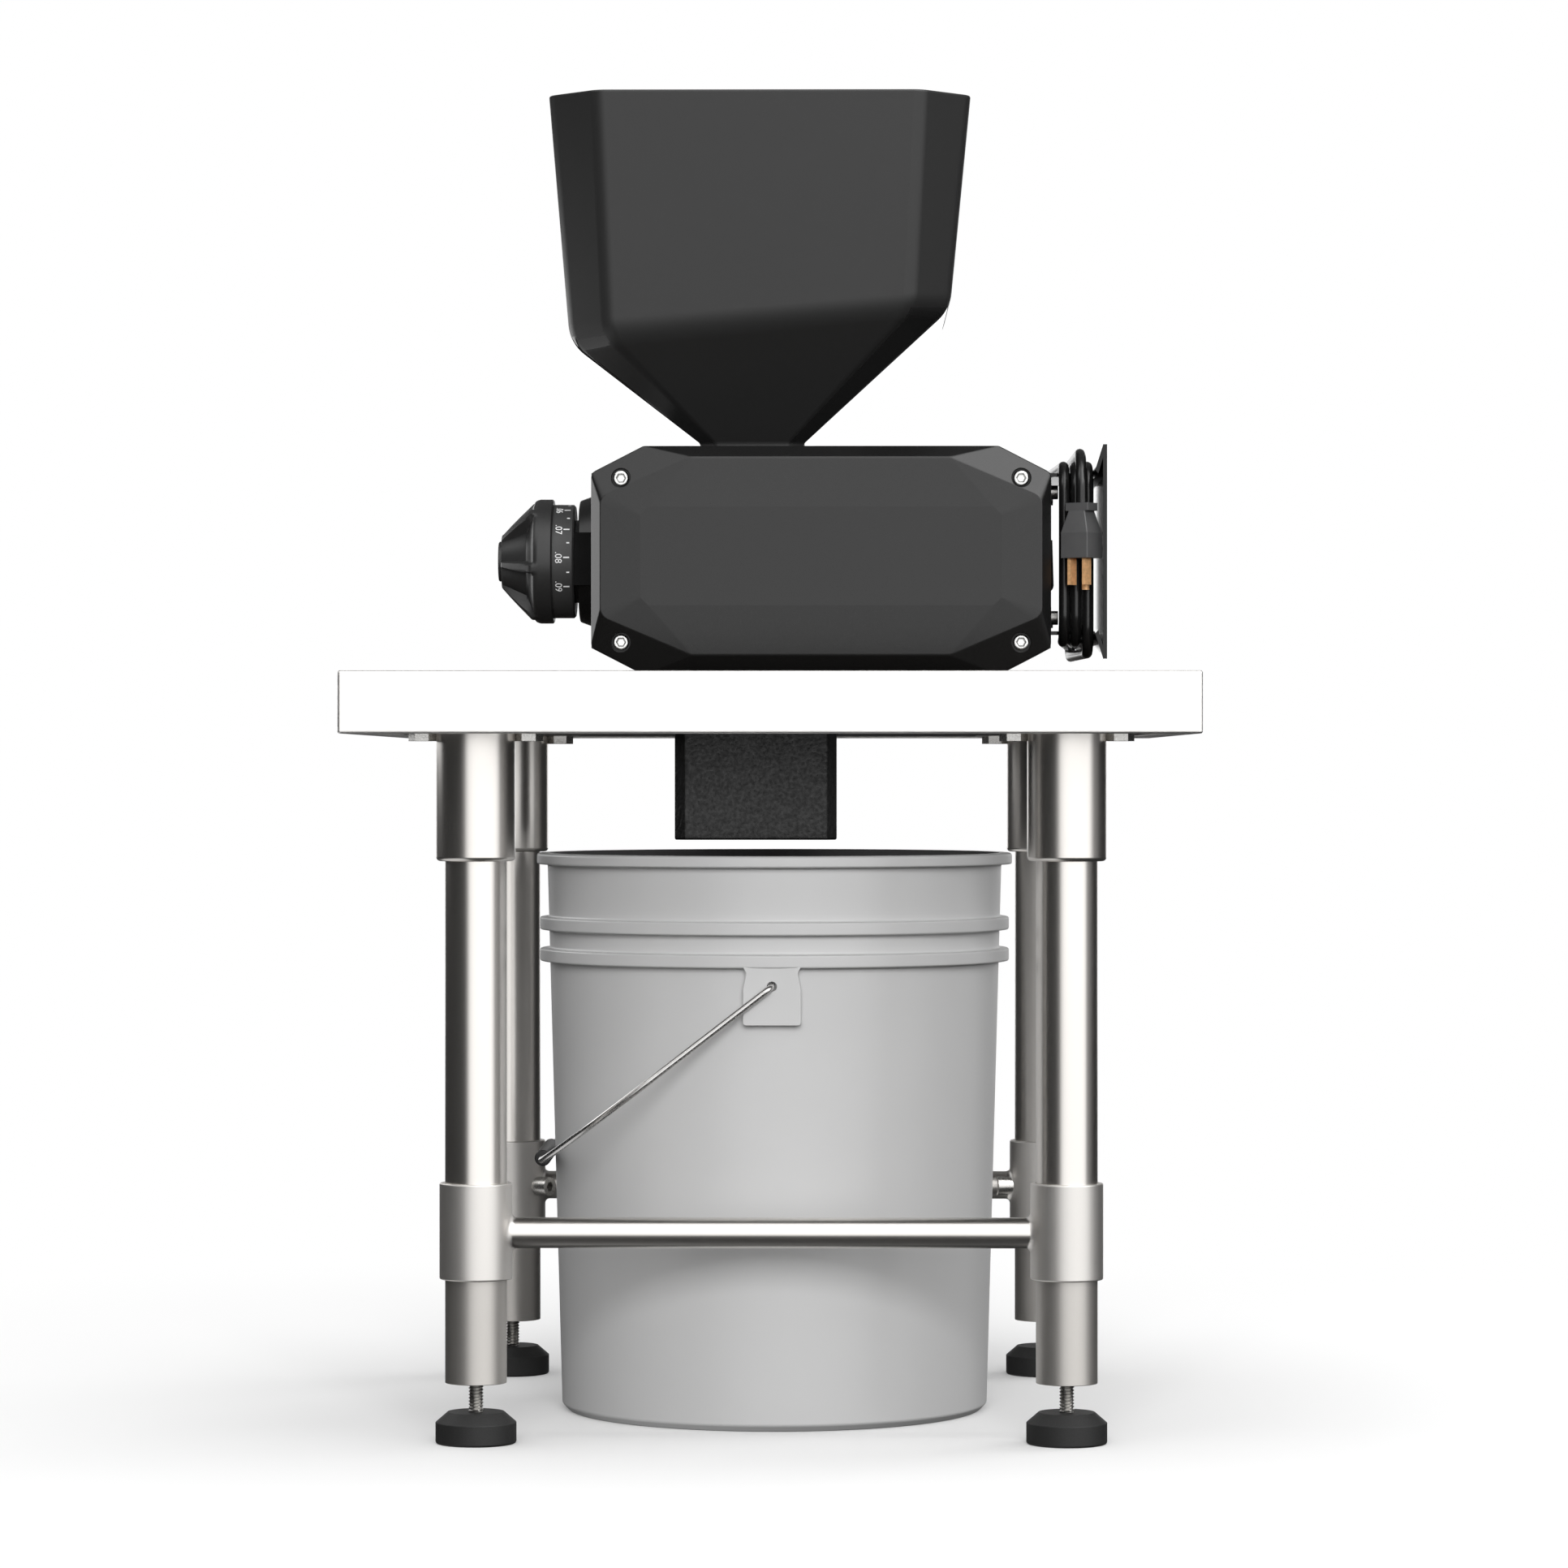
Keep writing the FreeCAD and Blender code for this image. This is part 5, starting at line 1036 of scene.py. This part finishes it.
TICK_SHORT = (-134.3, -132.4)
TICK_WIDTH = 0.9
MARK_RISE = 0.12


def round_knob(x, radius, turn):
    """Point at an angle round the knob's axis, counted up from the operator's side."""
    return Vector((x, -radius * math.cos(turn), AXIS_HEIGHT + radius * math.sin(turn)))


def knob_ring(x, land, hollow, half):
    """Ring round the knob whose lands ease into its hollows."""
    pitch = 360 / KNOB_LANDS
    ring = []
    for step in range(KNOB_STEPS):
        turn = 360 * step / KNOB_STEPS
        off = abs((turn - KNOB_FIRST_LAND + pitch / 2) % pitch - pitch / 2)
        share = min(max((off - half) / LAND_EASE, 0.0), 1.0)
        share = share * share * (3 - 2 * share)
        ring.append(round_knob(x, land + (hollow - land) * share, math.radians(turn)))
    return ring


def make_knob():
    back = Box("knob").high.x
    rings = [knob_ring(*station) for station in KNOB_LINE]
    rings += [knob_ring(x, NECK_RADIUS, NECK_RADIUS, 0.0) for x in (KNOB_BACK, back)]
    piece("knob_grip", "adjuster", "knob_plastic", [loft(rings)], ("knob",), crease=KNOB_CREASE)
    box = Box("dial_ring")
    along = at(0, 0, AXIS_HEIGHT) @ ALONG_X
    section = [(NECK_RADIUS, box.low.x), (DIAL_RADIUS, box.low.x), (DIAL_RADIUS, box.high.x - DIAL_CHAMFER),
               (DIAL_RADIUS - DIAL_CHAMFER, box.high.x), (NECK_RADIUS, box.high.x)]
    dial = moved(lathe(section, DIAL_EDGE, steps=DIAL_STEPS), along)
    piece("dial_band", "adjuster", "dial_plastic", [dial], ("dial_ring",))
    box = Box("knob_flange")
    section = [(FLANGE_BORE, box.low.x), (FLANGE_SMALL, box.low.x), (FLANGE_LARGE, box.high.x),
               (FLANGE_BORE, box.high.x)]
    flange = moved(lathe(section, FLANGE_EDGES, steps=FLANGE_STEPS), along)
    piece("knob_flange_cone", "stand", "black_shell", [flange], ("knob_flange",))


def letters(text):
    """Mesh of a plain text, read along X with its tops toward Y."""
    data = bpy.data.curves.new("letters", "FONT")
    data.body = text
    data.size = NUMBER_SIZE
    data.align_x = "CENTER"
    data.align_y = "CENTER"
    data.extrude = MARK_RISE
    holder = bpy.data.objects.new("letters", data)
    mesh = bpy.data.meshes.new_from_object(holder)
    points = [vertex.co.copy() for vertex in mesh.vertices]
    faces = [tuple(polygon.vertices) for polygon in mesh.polygons]
    bpy.data.objects.remove(holder)
    bpy.data.curves.remove(data)
    bpy.data.meshes.remove(mesh)
    return points, faces


def tick(turn, ends):
    """Painted line along the dial between two places on X."""
    half = TICK_WIDTH / 2 / DIAL_RADIUS
    rings = []
    for x in ends:
        rings.append([round_knob(x, DIAL_RADIUS + rise, turn + side * half)
                      for side, rise in ((-1, -MARK_RISE), (1, -MARK_RISE), (1, MARK_RISE), (-1, MARK_RISE))])
    return loft(rings)


def make_dial_marks():
    forms = []
    for number in range(1, NUMBER_COUNT + 1):
        turn = math.radians(NUMBER_TURN - NUMBER_STEP * (number - NUMBER_SHOWN))
        points, faces = letters(".%02d" % number)
        wrapped = [round_knob(NUMBER_MIDDLE + point.y, DIAL_RADIUS + point.z, turn - point.x / DIAL_RADIUS)
                   for point in points]
        forms.append((wrapped, faces))
        forms.append(tick(turn, TICK_LONG))
        if number < NUMBER_COUNT:
            forms.append(tick(turn - math.radians(NUMBER_STEP / 2), TICK_SHORT))
    marks = piece("dial_marks", "adjuster", "dial_plastic", forms)
    marks.data.materials[0] = LOOKS["dial_paint"]


make_knob()
make_dial_marks()


# Plug, bucket and bail

PLUG_TURN = -35.0
PLUG_BODY = (20.0, 18.0)
PLUG_NECK = (12.0, 12.0)
PLUG_COLLAR = (17.0, 12.0)
PLUG_COLLAR_HEIGHT = 5.0
PLUG_TAPER = 14.0
PLUG_ROUND = 0.6
PLUG_ROUND_STEPS = 3
PLUG_EDGES = (0, 0.5, 0.3, 0.3, 0)
PLUG_CREASE = 8
BUCKET_WALL = 2.2
BUCKET_FLOOR = 7.0
BUCKET_FOOT = 3.0
BUCKET_FOOT_WIDTH = 12.0
BUCKET_EDGE = 4.0
BUCKET_BASE = 138.5
BUCKET_MOUTH = 148.25
BUCKET_STEPS = 192
BASE_EDGES = (0, 1, 1, 2, 3)
RIM_HEIGHT = 7.3
RIM_EDGES = (1.5, 1.2, 2.0, 0.8, 3.0, 0)
RIB_RADIUS = 153.0
RIB_HEIGHT = 8.2
RIB_EDGES = (1.5, 1.2, 1.2, 1.5)
RIBS = (291.8, 312.2)
EAR_HALF = 18.25
EAR_NECK = 2.0
EAR_SHOULDER = 13.0
EAR_DROP = 35.8
EAR_FACE = 152.0
EAR_INSIDE = 139.0
EAR_WAIST = 3.0
EAR_FLARE = 2.0
EAR_RISE = 1.0
EAR_ROUNDS = (2, 2, 9, 3, 0, 0, 3, 9)
EAR_BEVEL = 0.5
EAR_HOLE = 3.0
EAR_HOLE_ENDS = (137.0, 160.0)
EAR_HOLE_STEPS = 48
BAIL_HEIGHT = 280.5
BAIL_RADIUS = 2.1
BAIL_OFFSET = 156.5
BAIL_REACH = 187.6
BAIL_CORNER = 101.0
BAIL_HOOK = 6.0
BAIL_INSIDE = 136.0
BAIL_DROP = 37.6
BAIL_STEPS = 20
GRIP_RADIUS = 5.2
GRIP_HALF = 54.0
GRIP_PLAY = 0.05
GRIP_EDGES = (0, 1, 1, 0)
GRIP_STEPS = 48


def make_plug():
    def ring(size, height):
        width, depth = size
        return level_ring(-width / 2, width / 2, -depth / 2, depth / 2, PLUG_ROUND, height, PLUG_ROUND_STEPS)

    high = PLUG_AT.z / MM
    low = Box("plug").low.z
    collar = high - PLUG_COLLAR_HEIGHT
    levels = [
        ring(PLUG_BODY, low),
        ring(PLUG_BODY, collar - PLUG_TAPER),
        ring(PLUG_NECK, collar),
        ring(PLUG_COLLAR, collar),
        ring(PLUG_COLLAR, high),
    ]
    form = skin(levels, PLUG_EDGES, closed=False)
    turn = Matrix.Rotation(math.radians(PLUG_TURN), 4, "Z")
    form = moved(form, at(PLUG_AT.x / MM, PLUG_AT.y / MM, 0) @ turn)
    return piece("plug_body", "stand", "plug_plastic", [form], ("plug",), crease=PLUG_CREASE)


def wall_at(height):
    """Radius of the bucket's tapered wall at a height."""
    share = (height - BUCKET_EDGE) / (Box("bucket").high.z - BUCKET_EDGE)
    return BUCKET_BASE + (BUCKET_MOUTH - BUCKET_BASE) * share


def make_bucket():
    box = Box("bucket")
    top = box.high.z
    rim = box.size.x / 2
    base_ring = BUCKET_BASE - BUCKET_FOOT_WIDTH
    corners = [(0, BUCKET_FOOT), (base_ring, BUCKET_FOOT), (base_ring, 0), (BUCKET_BASE - BUCKET_EDGE, 0),
               (BUCKET_BASE, BUCKET_EDGE)]
    radii = list(BASE_EDGES)
    for low in RIBS:
        high = low + RIB_HEIGHT
        corners += [(wall_at(low), low), (RIB_RADIUS, low), (RIB_RADIUS, high), (wall_at(high), high)]
        radii += RIB_EDGES
    corners += [(wall_at(top - RIM_HEIGHT), top - RIM_HEIGHT), (rim, top - RIM_HEIGHT), (rim, top),
                (wall_at(top) - BUCKET_WALL, top), (wall_at(BUCKET_FLOOR) - BUCKET_WALL, BUCKET_FLOOR),
                (0, BUCKET_FLOOR)]
    radii += RIM_EDGES
    shell = lathe(corners, radii, steps=BUCKET_STEPS)
    pail = piece("bucket_shell", "bucket_body", "bucket_plastic", [shell], ("bucket",))

    # The inner wall takes a darker grey: painted shade, as the plastic is the same inside and out
    def shaded_inside(face):
        outward = face.normal.x * face.center.x + face.normal.y * face.center.y
        return outward < 0 and face.center.z > BUCKET_FLOOR * MM

    second_look(pail.data, "bucket_inside_painted_shade", shaded_inside)


def make_ears():
    """Two ears that hang from the lower rib, each with a hole for the bail."""
    rib = RIBS[0]
    low = rib - EAR_DROP
    shoulder = rib - EAR_SHOULDER
    waist = rib - EAR_WAIST
    top = rib + EAR_RISE
    neck = EAR_HALF - EAR_NECK
    root = neck + EAR_FLARE
    corners = [(-EAR_HALF, low, 0), (EAR_HALF, low, 0), (EAR_HALF, shoulder, 0), (neck, waist, 0),
               (root, top, 0), (-root, top, 0), (-neck, waist, 0), (-EAR_HALF, shoulder, 0)]
    outline = rounded(corners, EAR_ROUNDS)
    start, end = EAR_HOLE_ENDS
    hole = lathe([(0, start), (EAR_HOLE, start), (EAR_HOLE, end), (0, end)], steps=EAR_HOLE_STEPS)
    ears = []
    holes = []
    for stand in (ALONG_MINUS_Y, ALONG_MINUS_Y @ Matrix.Rotation(math.pi, 4, "Y")):
        ears.append(moved(slab(outline, EAR_INSIDE, EAR_FACE), stand))
        holes.append(moved(hole, stand @ at(0, BAIL_HEIGHT, 0)))
    piece("bucket_ears", "bucket_body", "bucket_plastic", ears, cuts=holes, bevel=EAR_BEVEL)


def make_bail():
    swing = at(0, 0, BAIL_HEIGHT) @ Matrix.Rotation(math.radians(-BAIL_DROP), 4, "Y")
    corners = [(0, -BAIL_INSIDE, 0), (0, -BAIL_OFFSET, 0), (-BAIL_REACH, -BAIL_OFFSET, 0),
               (-BAIL_REACH, BAIL_OFFSET, 0), (0, BAIL_OFFSET, 0), (0, BAIL_INSIDE, 0)]
    path = rounded(corners, [0, BAIL_HOOK, BAIL_CORNER, BAIL_CORNER, BAIL_HOOK, 0], BAIL_STEPS, closed=False)
    wire = moved(tube(path, BAIL_RADIUS), swing)
    piece("bail_bent_wire", "bail", "bail_steel", [wire], ("bail_wire",))
    bore = BAIL_RADIUS + GRIP_PLAY
    section = [(bore, -GRIP_HALF), (GRIP_RADIUS, -GRIP_HALF), (GRIP_RADIUS, GRIP_HALF), (bore, GRIP_HALF)]
    grip = lathe(section, GRIP_EDGES, steps=GRIP_STEPS)
    grip = moved(grip, swing @ at(-BAIL_REACH, 0, 0) @ ALONG_PLUS_Y)
    piece("bail_grip_tube", "grip", "grip_plastic", [grip], ("bail_grip",))


make_bucket()
make_ears()
make_bail()


# Cord: repeats the route of its solid, wound round the two arms of the wrap

CORD_DIAMETER = 7.0 * MM
WIND_FIRST = 186.0 * MM
CORD_PITCH = 7.6 * MM
CORD_TURNS = 3
CORD_CORNER = 18.0 * MM
CORD_LAYER = 7.5 * MM
WIND_HALF = 74.0 * MM
WIND_HIGH = 610.5 * MM
WIND_LOW = 498.5 * MM
CORD_START = Vector((181.2 * MM, 98.0 * MM, 570.0 * MM))
PLUG_AT = Vector((196.0 * MM, -94.0 * MM, 585.5 * MM))
CORD_RESOLUTION = 8
CORD_ROUNDNESS = 6
EASE = math.tan(math.pi / 8)


def bend_points(corner, back, ahead, radius):
    """Control points that take a line round a square corner on an arc of that radius."""
    reaches = ((back, 1 + EASE), (back, 1 - EASE), (ahead, 1 - EASE), (ahead, 1 + EASE))
    return [corner + way * (radius * share) for way, share in reaches]


def cord_points():
    """Control points from the gland up, round the arms and down to the plug."""
    up = Vector((0, 0, 1))
    rear = Vector((0, 1, 0))
    points = [CORD_START, CORD_START + up * CORD_DIAMETER]
    outer = CORD_CORNER + CORD_LAYER
    points += bend_points(Vector((CORD_START.x, CORD_START.y, WIND_HIGH)), -up, -rear, CORD_CORNER)
    x = WIND_FIRST
    for turn in range(CORD_TURNS):
        last = turn == CORD_TURNS - 1
        low = WIND_LOW - CORD_LAYER if last else WIND_LOW
        back = WIND_HALF + CORD_LAYER if last else WIND_HALF
        high = WIND_HIGH + CORD_LAYER if last else WIND_HIGH
        after = PLUG_AT.x if last else x + CORD_PITCH
        points += bend_points(Vector((x, -WIND_HALF, WIND_HIGH)), rear, -up, CORD_CORNER)
        points += bend_points(Vector((x, -WIND_HALF, low)), up, rear, CORD_CORNER)
        x = after
        reach = outer if last else CORD_CORNER
        points += bend_points(Vector((x, back, low)), -rear, up, reach)
        points += bend_points(Vector((x, back, high)), -up, -rear, reach)
    points += bend_points(Vector((x, PLUG_AT.y, WIND_HIGH + CORD_LAYER)), rear, -up, outer)
    points += [PLUG_AT + up * (CORD_DIAMETER / 2), PLUG_AT]
    return points


def make_cord():
    data = bpy.data.curves.new("power_cord_wound", "CURVE")
    data.dimensions = "3D"
    data.resolution_u = CORD_RESOLUTION
    data.bevel_depth = CORD_DIAMETER / 2
    data.bevel_resolution = CORD_ROUNDNESS
    data.use_fill_caps = True
    points = cord_points()
    line = data.splines.new("NURBS")
    line.points.add(len(points) - 1)
    for point, place in zip(line.points, points):
        point.co = (*place, 1)
    line.order_u = 3
    line.use_endpoint_u = True
    data.materials.append(LOOKS["cord_rubber"])
    cord = bpy.data.objects.new("power_cord_wound", data)
    bpy.context.scene.collection.objects.link(cord)
    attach(cord, "stand")
    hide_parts("power_cord")
    pieces_on_cord = [make_plug(), frame["nodes"]["plug_blades"]]


make_cord()
